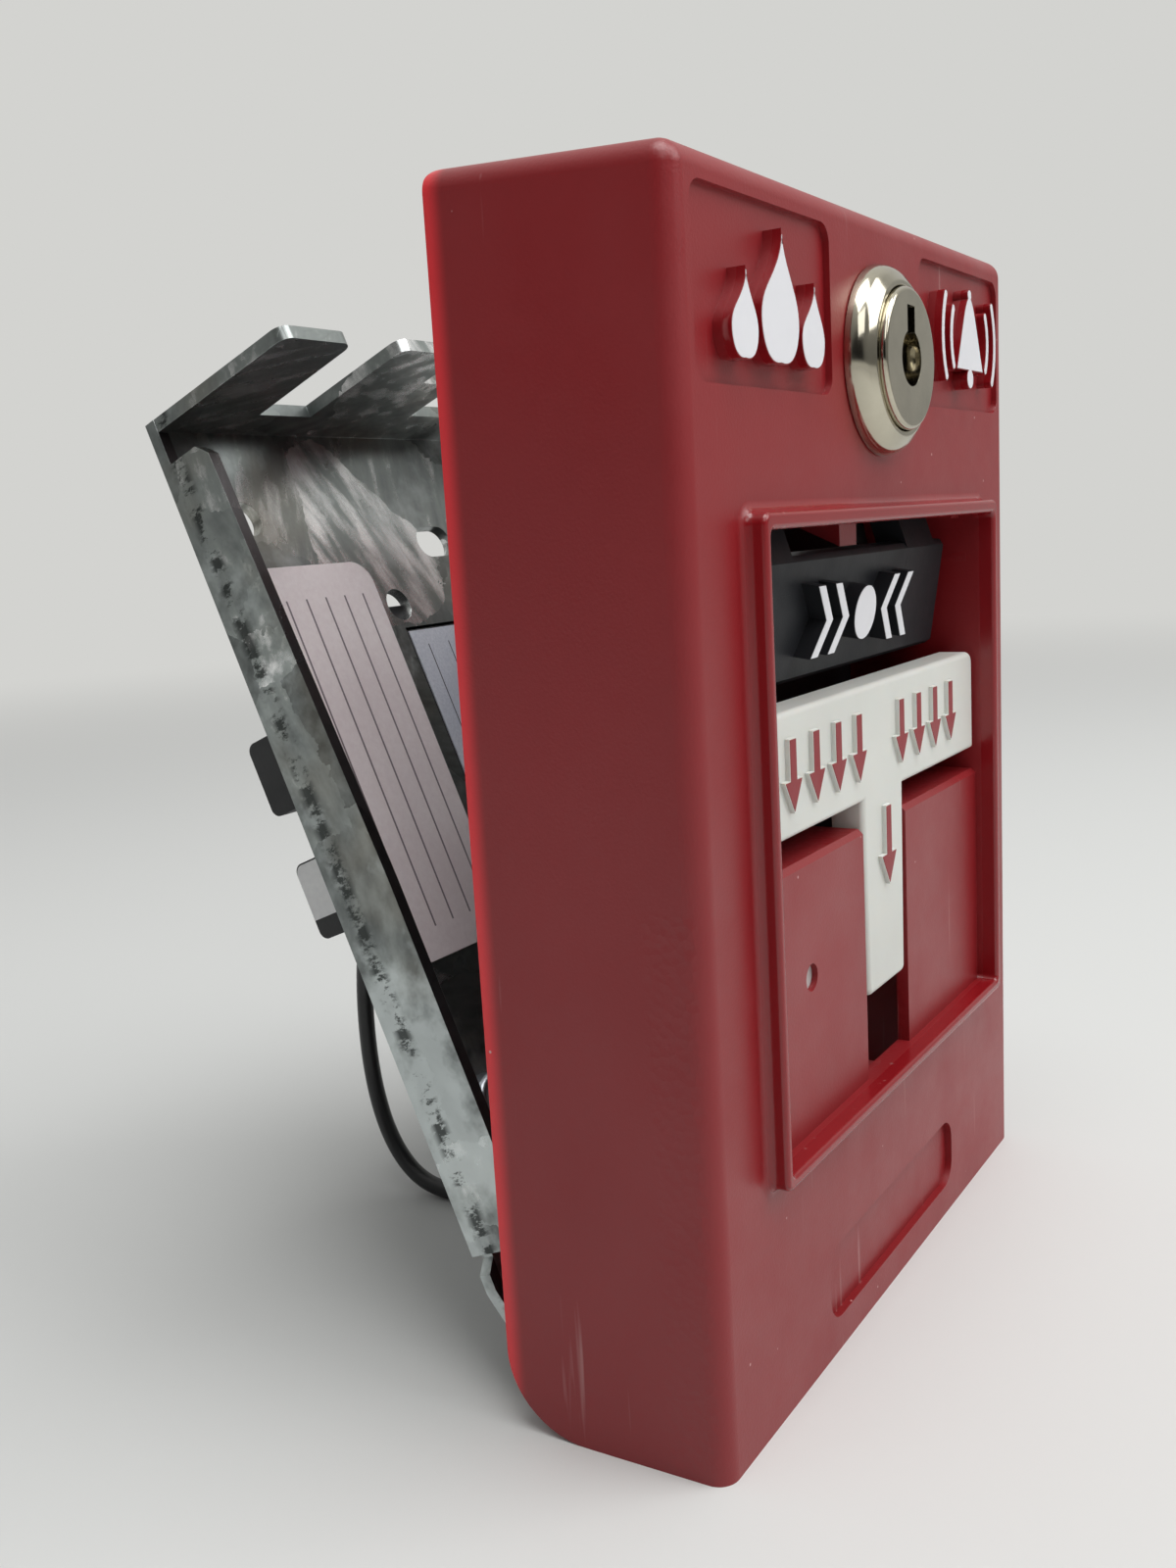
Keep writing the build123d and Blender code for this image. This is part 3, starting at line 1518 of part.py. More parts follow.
black_route = lead_points(
    bushing_x[0],
    0,
    [
        (-6.4, 69.6, 37.8),
        (-6.9, 70.6, 25.8),
        (-7.6, 69.4, 14.4),
        (-8.2, 65.9, 5.9),
        (-8.6, 59.8, black_radius),
        (-7.6, 50.8, black_radius),
        (-4.6, 41.5, black_radius),
        (-1.2, 33.2, 3.6),
    ],
)
white_route = lead_points(
    bushing_x[1],
    terminal_pitch,
    [
        (0.2, 68.0, 38.6),
        (-0.6, 68.2, 27.2),
        (-1.2, 66.6, 16.2),
        (-0.8, 62.4, 7.4),
        (0.8, 56.4, white_radius),
        (2.4, 48.6, white_radius),
        (4.2, 41.2, white_radius),
        (5.4, 33.4, 3.7),
    ],
)

for name, route, radius in (
    ("lead_black", black_route, black_radius),
    ("lead_white", white_route, white_radius),
):
    bends = corner_radii(route)
    with BuildPart() as lead:
        with BuildLine() as path:
            FilletPolyline(*route, radius=bends)
        with BuildSketch(Plane(origin=path.line @ 0, z_dir=path.line % 0)):
            Circle(radius)
        sweep()
    tube = radians(180) * radius**2 * sum(edge.length for edge in path.edges())
    run = sum(edge.length for edge in path.edges())
    print(name, "length", round(run, 2), "radii", [round(bend, 1) for bend in bends])
    print(name, "volume", round(lead.part.volume, 2), "section times length", round(tube, 2))
    write(name, lead)
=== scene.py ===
"""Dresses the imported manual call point: finishes, printed marks, leads, floor, lamps and camera.

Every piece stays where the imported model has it, in metres, with -Y as the front. A node whose shape
is right keeps it, and either takes a finish or gets a skin: a merged copy with softened edges.
"""

import json
import logging
import math
from dataclasses import dataclass, field
from enum import Enum
from typing import Optional, Sequence, Union

import bmesh
import bpy
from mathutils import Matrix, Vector

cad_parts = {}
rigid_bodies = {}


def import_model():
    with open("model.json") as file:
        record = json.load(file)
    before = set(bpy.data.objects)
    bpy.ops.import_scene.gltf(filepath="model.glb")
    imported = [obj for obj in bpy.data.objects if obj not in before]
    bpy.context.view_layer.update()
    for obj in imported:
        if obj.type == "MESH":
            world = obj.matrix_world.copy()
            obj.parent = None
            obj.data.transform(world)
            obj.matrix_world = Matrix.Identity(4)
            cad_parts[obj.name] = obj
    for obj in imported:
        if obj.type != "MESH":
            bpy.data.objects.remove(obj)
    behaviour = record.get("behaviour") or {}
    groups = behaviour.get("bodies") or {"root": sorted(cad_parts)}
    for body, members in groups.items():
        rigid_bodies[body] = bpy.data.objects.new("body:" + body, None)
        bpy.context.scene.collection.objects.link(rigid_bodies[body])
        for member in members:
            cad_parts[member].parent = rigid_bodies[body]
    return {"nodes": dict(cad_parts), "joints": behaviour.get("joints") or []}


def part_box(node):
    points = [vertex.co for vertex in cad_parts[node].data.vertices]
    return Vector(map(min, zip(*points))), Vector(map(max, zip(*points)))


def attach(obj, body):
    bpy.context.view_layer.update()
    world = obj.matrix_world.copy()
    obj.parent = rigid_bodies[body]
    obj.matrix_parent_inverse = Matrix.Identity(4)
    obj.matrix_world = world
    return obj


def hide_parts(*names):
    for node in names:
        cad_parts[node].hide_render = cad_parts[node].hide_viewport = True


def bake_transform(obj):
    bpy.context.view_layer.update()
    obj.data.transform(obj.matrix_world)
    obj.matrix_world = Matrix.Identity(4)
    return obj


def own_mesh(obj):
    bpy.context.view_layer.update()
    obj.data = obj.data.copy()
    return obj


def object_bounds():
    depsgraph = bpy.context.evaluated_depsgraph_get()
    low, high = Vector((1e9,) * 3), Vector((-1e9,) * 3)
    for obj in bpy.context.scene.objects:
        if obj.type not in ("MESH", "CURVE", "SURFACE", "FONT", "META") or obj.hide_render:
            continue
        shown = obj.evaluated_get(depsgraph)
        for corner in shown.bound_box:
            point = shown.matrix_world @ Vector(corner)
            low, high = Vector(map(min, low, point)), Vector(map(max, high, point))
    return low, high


for leftover in list(bpy.data.objects):
    bpy.data.objects.remove(leftover)

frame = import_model()
CAD_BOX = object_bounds()

MM = 0.001
LOG = logging.getLogger("call_point")

Tree = bpy.types.NodeTree
Node = bpy.types.Node
Socket = bpy.types.NodeSocket
Point = tuple[float, float, float]
Range = tuple[float, float]
Inputs = dict[Union[str, int], Union[Socket, float, tuple]]


class Body(Enum):
    """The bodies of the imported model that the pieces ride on."""

    COVER = "cover"
    LOCK = "lock_core"
    LEVER = "lever"
    PUSHER = "pusher"
    PLATE = "back_plate"
    PLUNGER = "plunger"


# ---------------------------------------------------------------- colours and nodes


def srgb(code: str) -> tuple[float, float, float, float]:
    """Turns an sRGB hex colour into the linear colour that shaders take.

    Args:
        code: six hex digits, such as "8c1f24".

    Returns:
        Linear red, green, blue and an alpha of 1.
    """
    channels = [int(code[i : i + 2], 16) / 255 for i in (0, 2, 4)]
    linear = [c / 12.92 if c <= 0.04045 else ((c + 0.055) / 1.055) ** 2.4 for c in channels]
    return (*linear, 1.0)


def per_metre(size_mm: float) -> float:
    """Texture scale whose features are size_mm across."""
    return 1 / (size_mm * MM)


def fill(tree: Tree, node: Node, inputs: Inputs) -> None:
    """Sets some of a node's inputs.

    Args:
        tree: the node tree that holds it.
        node: the node.
        inputs: a socket or a constant for each input, by name or by place.
    """
    for key, value in inputs.items():
        if isinstance(value, Socket):
            tree.links.new(value, node.inputs[key])
        else:
            node.inputs[key].default_value = value


def add_node(tree: Tree, kind: str, inputs: Optional[Inputs] = None, **settings: object) -> Node:
    """Adds one shader node with its settings and links.

    Args:
        tree: the node tree that takes it.
        kind: the node's type without its "ShaderNode" prefix.
        inputs: a socket or a constant for each input, by name or by place.
        **settings: attributes of the node itself, such as operation.

    Returns:
        The new node.
    """
    node = tree.nodes.new("ShaderNode" + kind)
    for key, value in settings.items():
        setattr(node, key, value)
    fill(tree, node, inputs or {})
    return node


def coordinates(tree: Tree, output: str = "Object") -> Socket:
    """Texture coordinates of one kind."""
    return add_node(tree, "TexCoord").outputs[output]


def along(tree: Tree, place: Socket, axis: str) -> Socket:
    """One axis of a position."""
    return add_node(tree, "SeparateXYZ", {"Vector": place}).outputs[axis]


def reckon(tree: Tree, operation: str, *values: Union[Socket, float]) -> Socket:
    """Works out one number from others with the maths node's operation."""
    return add_node(tree, "Math", dict(enumerate(values)), operation=operation).outputs["Value"]


def mapped(tree: Tree, value: Socket, source: Range, target: Range, smooth: bool = False) -> Socket:
    """Maps one range of a value onto another, and holds it at both ends.

    Args:
        tree: the node tree.
        value: the value.
        source: its range.
        target: what the ends of that range become.
        smooth: eases in and out, where otherwise the way between is straight.

    Returns:
        The socket of the mapped value.
    """
    ranges = dict(enumerate((*source, *target), start=1))
    easing = "SMOOTHSTEP" if smooth else "LINEAR"
    node = add_node(tree, "MapRange", {"Value": value, **ranges}, interpolation_type=easing)
    return node.outputs["Result"]


def noise(tree: Tree, place: Socket, size_mm: float, detail: float, rough: float = 0.5) -> Socket:
    """Adds cloudy noise.

    Args:
        tree: the node tree.
        place: positions, in metres.
        size_mm: width of its largest features.
        detail: octaves of finer features.
        rough: how strong those are.

    Returns:
        The socket of its level, around 0.5.
    """
    inputs = {"Vector": place, "Scale": per_metre(size_mm), "Detail": detail, "Roughness": rough}
    return add_node(tree, "TexNoise", inputs).outputs["Fac"]


def layered(tree: Tree, share: Socket, under: Union[Socket, tuple], over: tuple) -> Socket:
    """Covers a share of one colour with another."""
    return add_node(tree, "Mix", {0: share, 6: under, 7: over}, data_type="RGBA").outputs[2]


def clouded(tree: Tree, cloud: Socket, code: str, brightness: Range) -> Socket:
    """Lets a colour wander in brightness with a noise.

    Args:
        tree: the node tree.
        cloud: the noise's level.
        code: the colour, in sRGB hex.
        brightness: factors at the noise's low and high levels.

    Returns:
        The socket of the colour.
    """
    wander = mapped(tree, cloud, (0.3, 0.7), brightness)
    tint = add_node(tree, "HueSaturation", {"Value": wander, "Color": srgb(code)})
    return tint.outputs["Color"]


def bumped(tree: Tree, height: Socket, depth_mm: float, **more: Union[Socket, float]) -> Socket:
    """Turns a height into a bump of a depth; more holds the node's other inputs."""
    inputs = {"Height": height, "Strength": 1.0, "Distance": depth_mm * MM, **more}
    return add_node(tree, "Bump", inputs).outputs["Normal"]


# ---------------------------------------------------------------- finishes


@dataclass(frozen=True)
class Finish:
    """One finish of the object: a named material that is built once."""

    name: str

    def material(self) -> bpy.types.Material:
        """Builds the material, or finds it when a piece has asked for it before.

        Returns:
            The material of this finish.
        """
        found = bpy.data.materials.get(self.name)
        if found is not None:
            return found
        made = bpy.data.materials.new(self.name)
        made.use_nodes = True
        tree = made.node_tree
        tree.nodes.clear()
        shader = add_node(tree, "BsdfPrincipled")
        self.dress(tree, shader)
        add_node(tree, "OutputMaterial", {"Surface": self.surface(tree, shader)})
        return made

    def dress(self, tree: Tree, shader: Node) -> None:
        """Fills the shader's inputs; each kind of finish has its own way.

        Args:
            tree: the material's nodes.
            shader: its Principled shader.
        """
        raise NotImplementedError

    def surface(self, tree: Tree, shader: Node) -> Socket:
        """What the material shows: the shader as it is."""
        return shader.outputs["BSDF"]


@dataclass(frozen=True)
class MouldedPlastic(Finish):
    """Injection-moulded plastic: fine eroded grain, a faint cloud in the colour, handling marks."""

    colour: str = "808080"
    roughness: float = 0.45
    grain_mm: float = 0.35
    grain_height_mm: float = 0.012
    cloud: float = 0.06
    cloud_mm: float = 28.0
    smear_mm: float = 9.0
    subsurface: float = 0.0
    specular: float = 0.5

    def dress(self, tree: Tree, shader: Node) -> None:
        """Adds the grain, the cloud and the worn sheen.

        Args:
            tree: the material's nodes.
            shader: its Principled shader.
        """
        place = coordinates(tree)
        if self.subsurface:
            scatter = {"Weight": self.subsurface, "Radius": (1.0, 0.6, 0.4), "Scale": 0.6 * MM}
            fill(tree, shader, {"Subsurface " + key: value for key, value in scatter.items()})
        cloud = noise(tree, place, self.cloud_mm, 3.0)
        smear = noise(tree, place, self.smear_mm, 4.0, 0.6)
        sheen = (self.roughness - 0.05, self.roughness + 0.06)
        grain = noise(tree, place, self.grain_mm, 2.0)
        inputs = {
            "IOR": 1.53,
            "Specular IOR Level": self.specular,
            "Base Color": clouded(tree, cloud, self.colour, (1 - self.cloud, 1 + self.cloud)),
            "Roughness": mapped(tree, smear, (0.35, 0.65), sheen),
            "Normal": bumped(tree, grain, self.grain_height_mm),
        }
        fill(tree, shader, inputs)


@dataclass(frozen=True)
class RedCoverPlastic(MouldedPlastic):
    """Pigmented polycarbonate: eroded grain on the broad faces, polished where it stands proud."""

    cloud_mm: float = 30.0
    smear_mm: float = 11.0
    proud_of: float = 0.0  # the front face's Y in metres: what lies before it is polished
    back: float = 0.0  # the rear edge's Y in metres
    leather_top: float = 0.0  # Z in metres that the recessed faces' coarser grain ends at
    leather_mm: float = 1.1
    leather_height_mm: float = 0.07
    polish: float = 0.2
    painted_edge_light_colour: str = "e8323a"  # painted highlight: brighter red painted along the open back edge, in place of the light that its rounded edge catches
    mark_colour: str = "c49a98"

    def dress(self, tree: Tree, shader: Node) -> None:
        """Adds grain that fades on the polished rim, specks of dust, long scuffs and a painted
        highlight along the open back edge.

        Args:
            tree: the material's nodes.
            shader: its Principled shader.
        """
        place = coordinates(tree)
        depth = along(tree, place, "Y")
        edge = (self.proud_of - 0.45 * MM, self.proud_of - 0.1 * MM)
        grained = mapped(tree, depth, edge, (0.0, 1.0), smooth=True)
        cloud = noise(tree, place, self.cloud_mm, 3.0)
        base = clouded(tree, cloud, self.colour, (1 - self.cloud, 1 + self.cloud))
        # Painted highlight: over the last 2 mm before the open back edge the colour turns brighter
        # red, standing in for light caught by that edge; the plastic has no such tint.
        painted_edge_span = (self.back - 2.2 * MM, self.back - 0.2 * MM)
        painted_edge_light = mapped(tree, depth, painted_edge_span, (0.0, 0.85), smooth=True)
        with_painted_edge_light = layered(tree, painted_edge_light, base, srgb(self.painted_edge_light_colour))
        smear = noise(tree, place, self.smear_mm, 4.0, 0.6)
        worn = mapped(tree, smear, (0.35, 0.65), (self.roughness - 0.05, self.roughness + 0.05))
        blend = {0: grained, 2: self.polish, 3: worn}
        inputs = {
            "IOR": 1.55,
            "Base Color": layered(tree, self.marks(tree, place), with_painted_edge_light, srgb(self.mark_colour)),
            "Roughness": add_node(tree, "Mix", blend, data_type="FLOAT").outputs[0],
            "Normal": self.relief(tree, place, depth, grained),
        }
        fill(tree, shader, inputs)

    def marks(self, tree: Tree, place: Socket) -> Socket:
        """Scatters long faint scratches and sparse specks of dust.

        Args:
            tree: the material's nodes.
            place: positions, in metres.

        Returns:
            The socket of how much a mark covers.
        """
        # Scratches: noise stretched twenty-five to one.
        stretch = {"Vector": place, "Rotation": (0.4, 0.3, 0.6), "Scale": (1.0, 1.0, 0.04)}
        stretched = add_node(tree, "Mapping", stretch).outputs["Vector"]
        scuff = mapped(tree, noise(tree, stretched, 1.4, 2.0), (0.70, 0.78), (0.0, 0.35))
        # Dust: a round speck in about one cell of four.
        spread = {"Vector": place, "Scale": per_metre(3.4), "Randomness": 1.0}
        cells = add_node(tree, "TexVoronoi", spread)
        speck = mapped(tree, cells.outputs["Distance"], (0.035, 0.055), (1.0, 0.0))
        chance = add_node(tree, "SeparateColor", {"Color": cells.outputs["Color"]}).outputs["Red"]
        dust = reckon(tree, "MULTIPLY", speck, reckon(tree, "GREATER_THAN", chance, 0.72))
        return reckon(tree, "MAXIMUM", scuff, dust)

    def relief(self, tree: Tree, place: Socket, depth: Socket, grained: Socket) -> Socket:
        """Adds the eroded grain, and leather grain on the recessed faces below the lever's bar.

        Args:
            tree: the material's nodes.
            place: positions, in metres.
            depth: their Y.
            grained: how much of the eroded grain shows.

        Returns:
            The socket of the normal.
        """
        grain = reckon(tree, "MULTIPLY", noise(tree, place, self.grain_mm, 2.0), grained)
        bump = bumped(tree, grain, self.grain_height_mm)
        cells = {"Vector": place, "Scale": per_metre(self.leather_mm)}
        leather = add_node(tree, "TexVoronoi", cells, feature="F1").outputs["Distance"]
        start = (self.proud_of + 0.9 * MM, self.proud_of + 1.2 * MM)
        stop = (self.proud_of + 6.0 * MM, self.proud_of + 7.0 * MM)
        top = (self.leather_top, self.leather_top + 0.5 * MM)
        behind = mapped(tree, depth, start, (0.0, 1.0))
        below = mapped(tree, along(tree, place, "Z"), top, (1.0, 0.0))
        ahead = mapped(tree, depth, stop, (1.0, 0.0))
        within = reckon(tree, "MULTIPLY", reckon(tree, "MULTIPLY", behind, below), ahead)
        return bumped(tree, leather, self.leather_height_mm, Strength=within, Normal=bump)


@dataclass(frozen=True)
class Metal(Finish):
    """Plain worked metal: a little cloud in its gloss and fine handling marks."""

    colour: str = "c0c0c0"
    roughness: float = 0.25
    spread: float = 0.08
    smoothest: float = 0.03
    mark_mm: float = 2.2
    mark_height_mm: float = 0.004

    def dress(self, tree: Tree, shader: Node) -> None:
        """Adds the gloss's cloud and the marks.

        Args:
            tree: the material's nodes.
            shader: its Principled shader.
        """
        place = coordinates(tree)
        cloud = noise(tree, place, 5, 5.0, 0.6)
        low, high = self.roughness - self.spread, self.roughness + self.spread
        inputs = {
            "Metallic": 1.0,
            "Base Color": clouded(tree, cloud, self.colour, (0.88, 1.06)),
            "Roughness": mapped(tree, cloud, (0.3, 0.7), (max(self.smoothest, low), high)),
            "Normal": bumped(tree, noise(tree, place, self.mark_mm, 3.0), self.mark_height_mm),
        }
        fill(tree, shader, inputs)


@dataclass(frozen=True)
class Sheet:
    """The mounting plate's own axes: its origin in the frame and how far it leans back."""

    lean: float = 0.0  # radians from upright
    origin: Point = (0.0, 0.0, 0.0)

    def place(self, tree: Tree) -> Socket:
        """Gives positions across, out of and up the plate.

        Args:
            tree: the material's nodes.

        Returns:
            The socket of those positions, in metres.
        """
        ends = {0: coordinates(tree), 1: self.origin}
        shifted = add_node(tree, "VectorMath", ends, operation="SUBTRACT").outputs["Vector"]
        turn = {"Vector": shifted, "Rotation": (self.lean, 0.0, 0.0)}
        return add_node(tree, "Mapping", turn).outputs["Vector"]


@dataclass(frozen=True)
class GalvanisedSteel(Finish):
    """Hot-dip galvanised sheet: spangles of frozen zinc, each with its own feathers and tone."""

    sheet: Sheet = Sheet()
    half_width: float = 0.045
    spangle_mm: float = 15.0
    wander_mm: float = 5.0
    feather_mm: float = 2.4
    # The zinc's tones from dark to bright, and where each lies.
    tones: tuple[tuple[float, str], ...] = (
        (0.0, "5d6160"),
        (0.4, "828786"),
        (0.72, "9da3a1"),
        (1.0, "ffffff"),
    )
    stain_colour: str = "8b7d69"
    bloom_colour: str = "cdd4d4"
    press_colour: str = "383b3a"
    sheared_colour: str = "4b4447"

    def dress(self, tree: Tree, shader: Node) -> None:
        """Adds spangles, feathers, oxide and the marks of pressing and shearing.

        Args:
            tree: the material's nodes.
            shader: its Principled shader.
        """
        place = self.sheet.place(tree)
        shade = add_node(tree, "SeparateColor", {"Color": self.spangles(tree, place)})
        feather = self.feathers(tree, place, shade.outputs["Green"])
        level = reckon(tree, "MULTIPLY_ADD", shade.outputs["Red"], 0.6, feather)
        level = reckon(tree, "MULTIPLY_ADD", noise(tree, place, 0.45, 2.0), 0.12, level)
        tone = add_node(tree, "ValToRGB", {"Fac": mapped(tree, level, (0.42, 1.28), (0.0, 1.0))})
        stops = tone.color_ramp.elements
        for at, _ in self.tones[1:-1]:
            stops.new(at)
        for stop, (at, code) in zip(stops, self.tones):
            stop.position, stop.color = at, srgb(code)
        oxidised = self.oxide(tree, place, tone.outputs["Color"])
        relief = reckon(tree, "ADD", feather, shade.outputs["Blue"])
        inputs = {
            "Metallic": 1.0,
            "Base Color": self.edges(tree, place, oxidised),
            "Roughness": mapped(tree, level, (0.5, 1.1), (0.46, 0.27)),
            "Normal": bumped(tree, relief, 0.014),
        }
        fill(tree, shader, inputs)

    def spangles(self, tree: Tree, place: Socket) -> Socket:
        """Divides the sheet into spangles whose walls wander like frost.

        Args:
            tree: the material's nodes.
            place: positions on the plate.

        Returns:
            The socket of a colour that each spangle has to itself.
        """
        ragged = {"Vector": place, "Scale": per_metre(5.5), "Detail": 4.0, "Roughness": 0.65}
        drift = add_node(tree, "TexNoise", ragged).outputs["Color"]
        ends = {0: drift, 1: (self.wander_mm * MM,) * 3, 2: place}
        pulled = add_node(tree, "VectorMath", ends, operation="MULTIPLY_ADD").outputs["Vector"]
        spread = {"Vector": pulled, "Scale": per_metre(self.spangle_mm), "Randomness": 1.0}
        return add_node(tree, "TexVoronoi", spread).outputs["Color"]

    def feathers(self, tree: Tree, place: Socket, own: Socket) -> Socket:
        """Combs fine lines that run their own way in each spangle.

        Args:
            tree: the material's nodes.
            place: positions on the plate.
            own: a number that each spangle has to itself.

        Returns:
            The socket of the lines' level.
        """
        angle = reckon(tree, "MULTIPLY", own, 2 * math.pi)
        turn = {"Vector": place, "Axis": (0.35, 0.9, 0.2), "Angle": angle}
        turned = add_node(tree, "VectorRotate", turn, rotation_type="AXIS_ANGLE").outputs["Vector"]
        comb = {"Vector": turned, "Scale": (1.0, 1.0, 0.22)}
        combed = add_node(tree, "Mapping", comb).outputs["Vector"]
        return noise(tree, combed, self.feather_mm, 3.0)

    def oxide(self, tree: Tree, place: Socket, zinc_tone: Socket) -> Socket:
        """Adds brown-grey storage stain in broad patches, and pale bloom towards the foot.

        Args:
            tree: the material's nodes.
            place: positions on the plate.
            zinc_tone: the zinc's own colour.

        Returns:
            The socket of the colour.
        """
        stained = mapped(tree, noise(tree, place, 24, 3.0), (0.55, 0.7), (0.0, 0.45))
        colour = layered(tree, stained, zinc_tone, srgb(self.stain_colour))
        lower = mapped(tree, along(tree, place, "Z"), (20 * MM, 75 * MM), (0.2, 0.0))
        patches = reckon(tree, "ADD", noise(tree, place, 13, 5.0, 0.6), lower)
        bloomed = mapped(tree, patches, (0.56, 0.7), (0.0, 0.75))
        return layered(tree, bloomed, colour, srgb(self.bloom_colour))

    def edges(self, tree: Tree, place: Socket, ground: Socket) -> Socket:
        """Adds the press marks beside the bends and the bare edges of the side flanges.

        Args:
            tree: the material's nodes.
            place: positions on the plate.
            ground: the colour so far.

        Returns:
            The socket of the colour.
        """
        across = reckon(tree, "ABSOLUTE", along(tree, place, "X"))
        # Press marks: a ragged dark row beside the bend, on the outside of each side flange.
        outside = reckon(tree, "GREATER_THAN", across, self.half_width - 0.3 * MM)
        forward = reckon(tree, "MULTIPLY", along(tree, place, "Y"), -1.0)
        row = reckon(tree, "ABSOLUTE", reckon(tree, "SUBTRACT", forward, 2.6 * MM))
        near = mapped(tree, row, (0.5 * MM, 1.5 * MM), (0.9, 0.0))
        dash = {"Vector": place, "Rotation": (0.5, 0.0, 0.0), "Scale": (1.0, 0.5, 1.0)}
        dashes = add_node(tree, "Mapping", dash).outputs["Vector"]
        bitten = mapped(tree, noise(tree, dashes, 2.2, 5.0, 0.75), (0.49, 0.56), (0.0, 1.0))
        pressed = reckon(tree, "MULTIPLY", reckon(tree, "MULTIPLY", near, bitten), outside)
        marked = layered(tree, pressed, ground, srgb(self.press_colour))
        # The flanges' sheared front edges, bare of zinc and brown.
        out = (0, -math.cos(self.sheet.lean), math.sin(self.sheet.lean))
        ends = {0: coordinates(tree, "Normal"), 1: out}
        facing = add_node(tree, "VectorMath", ends, operation="DOT_PRODUCT").outputs["Value"]
        sheared = mapped(tree, facing, (0.7, 0.95), (0.0, 0.85))
        rim = reckon(tree, "GREATER_THAN", across, self.half_width - 1.45 * MM)
        bare = reckon(tree, "MULTIPLY", sheared, rim)
        return layered(tree, bare, marked, srgb(self.sheared_colour))


@dataclass(frozen=True)
class Rules:
    """Bare ruled lines on a label, up the sheet, in the sheet's millimetres."""

    left: float
    right: float
    low: float
    high: float
    pitch: float
    width: float
    ink: str


@dataclass(frozen=True)
class PrintedFoil(Finish):
    """Self-adhesive label stock: paper or foil with a fine speckle, soft bands and ruled lines."""

    colour: str = "e6e6e6"
    dark: str = "d8d8da"
    speck_mm: float = 0.8
    roughness: float = 0.38
    sheet: Sheet = Sheet()
    rules: Optional[Rules] = None

    def dress(self, tree: Tree, shader: Node) -> None:
        """Adds the speckle and a few broad soft bands.

        Args:
            tree: the material's nodes.
            shader: its Principled shader.
        """
        place = coordinates(tree)
        speck = noise(tree, place, self.speck_mm, 2.0, 0.7)
        blend = reckon(tree, "MULTIPLY_ADD", speck, 0.7, noise(tree, place, 16, 1.0))
        level = mapped(tree, blend, (0.6, 1.1), (0.0, 1.0))
        shown = layered(tree, level, srgb(self.dark), srgb(self.colour))
        if self.rules is not None:
            shown = self.ruled(tree, shown, self.rules)
        fill(tree, shader, {"Base Color": shown, "Roughness": self.roughness})

    def ruled(self, tree: Tree, ground: Socket, rules: Rules) -> Socket:
        """Rules lines over the label's own colour.

        Args:
            tree: the material's nodes.
            ground: the label's colour.
            rules: where the lines run.

        Returns:
            The socket of the ruled colour.
        """
        axes = add_node(tree, "SeparateXYZ", {"Vector": self.sheet.place(tree)}).outputs
        step = reckon(tree, "SUBTRACT", axes["X"], rules.left * MM)
        phase = reckon(tree, "MODULO", step, rules.pitch * MM)
        inked = reckon(tree, "LESS_THAN", phase, rules.width * MM)
        for axis, limit, test in (
            ("X", rules.left, "GREATER_THAN"),
            ("X", rules.right, "LESS_THAN"),
            ("Z", rules.low, "GREATER_THAN"),
            ("Z", rules.high, "LESS_THAN"),
        ):
            inked = reckon(tree, "MULTIPLY", inked, reckon(tree, test, axes[axis], limit * MM))
        return layered(tree, inked, ground, srgb(rules.ink))


@dataclass(frozen=True)
class ClearPlastic(Finish):
    """Clear moulded plastic or nylon: lets light through with a slight tint."""

    colour: str = "ffffff"
    roughness: float = 0.08
    transmission: float = 1.0

    def dress(self, tree: Tree, shader: Node) -> None:
        """Adds the clear body with a wave of flow lines in its gloss.

        Args:
            tree: the material's nodes.
            shader: its Principled shader.
        """
        flow = noise(tree, coordinates(tree), 2.5, 2.0)
        inputs = {
            "Base Color": srgb(self.colour),
            "Transmission Weight": self.transmission,
            "IOR": 1.49,
            "Roughness": mapped(tree, flow, (0.3, 0.7), (self.roughness, self.roughness + 0.12)),
        }
        fill(tree, shader, inputs)


# ---------------------------------------------------------------- meshes and pieces

MERGE = 0.0005 * MM
FLAT = math.radians(0.5)
CREASE = math.radians(32)
FRONT = Vector((0, -1, 0))


def merged_copy(node: str) -> bmesh.types.BMesh:
    """Copies a CAD node's loose triangles into one closed mesh with flat faces joined.

    Args:
        node: the CAD node's name.

    Returns:
        The joined mesh, still open for editing.
    """
    mesh = bmesh.new()
    mesh.from_mesh(frame["nodes"][node].data)
    bmesh.ops.remove_doubles(mesh, verts=mesh.verts, dist=MERGE)
    bmesh.ops.dissolve_limit(
        mesh, angle_limit=FLAT, use_dissolve_boundaries=False, verts=mesh.verts, edges=mesh.edges
    )
    return mesh


def finished(name: str, mesh: bmesh.types.BMesh, finish: Finish) -> bpy.types.Object:
    """Turns an edited mesh into a shown object with a finish, smooth up to its creases.

    Args:
        name: the piece's name.
        mesh: the edited mesh, which is freed.
        finish: what it is made of.

    Returns:
        The new object, at the origin.
    """
    data = bpy.data.meshes.new(name)
    mesh.to_mesh(data)
    mesh.free()
    data.materials.clear()
    data.materials.append(finish.material())
    data.polygons.foreach_set("material_index", [0] * len(data.polygons))
    data.shade_smooth()
    data.set_sharp_from_angle(angle=CREASE)
    piece = bpy.data.objects.new(name, data)
    bpy.context.scene.collection.objects.link(piece)
    return piece


@dataclass(frozen=True)
class Coat:
    """How a CAD node is dressed: with a skin in a slot, or by a finish alone without a slot."""

    node: str
    finish: Finish
    slot: str = ""
    edge_mm: float = 0.0  # width of the softening along each sharp edge


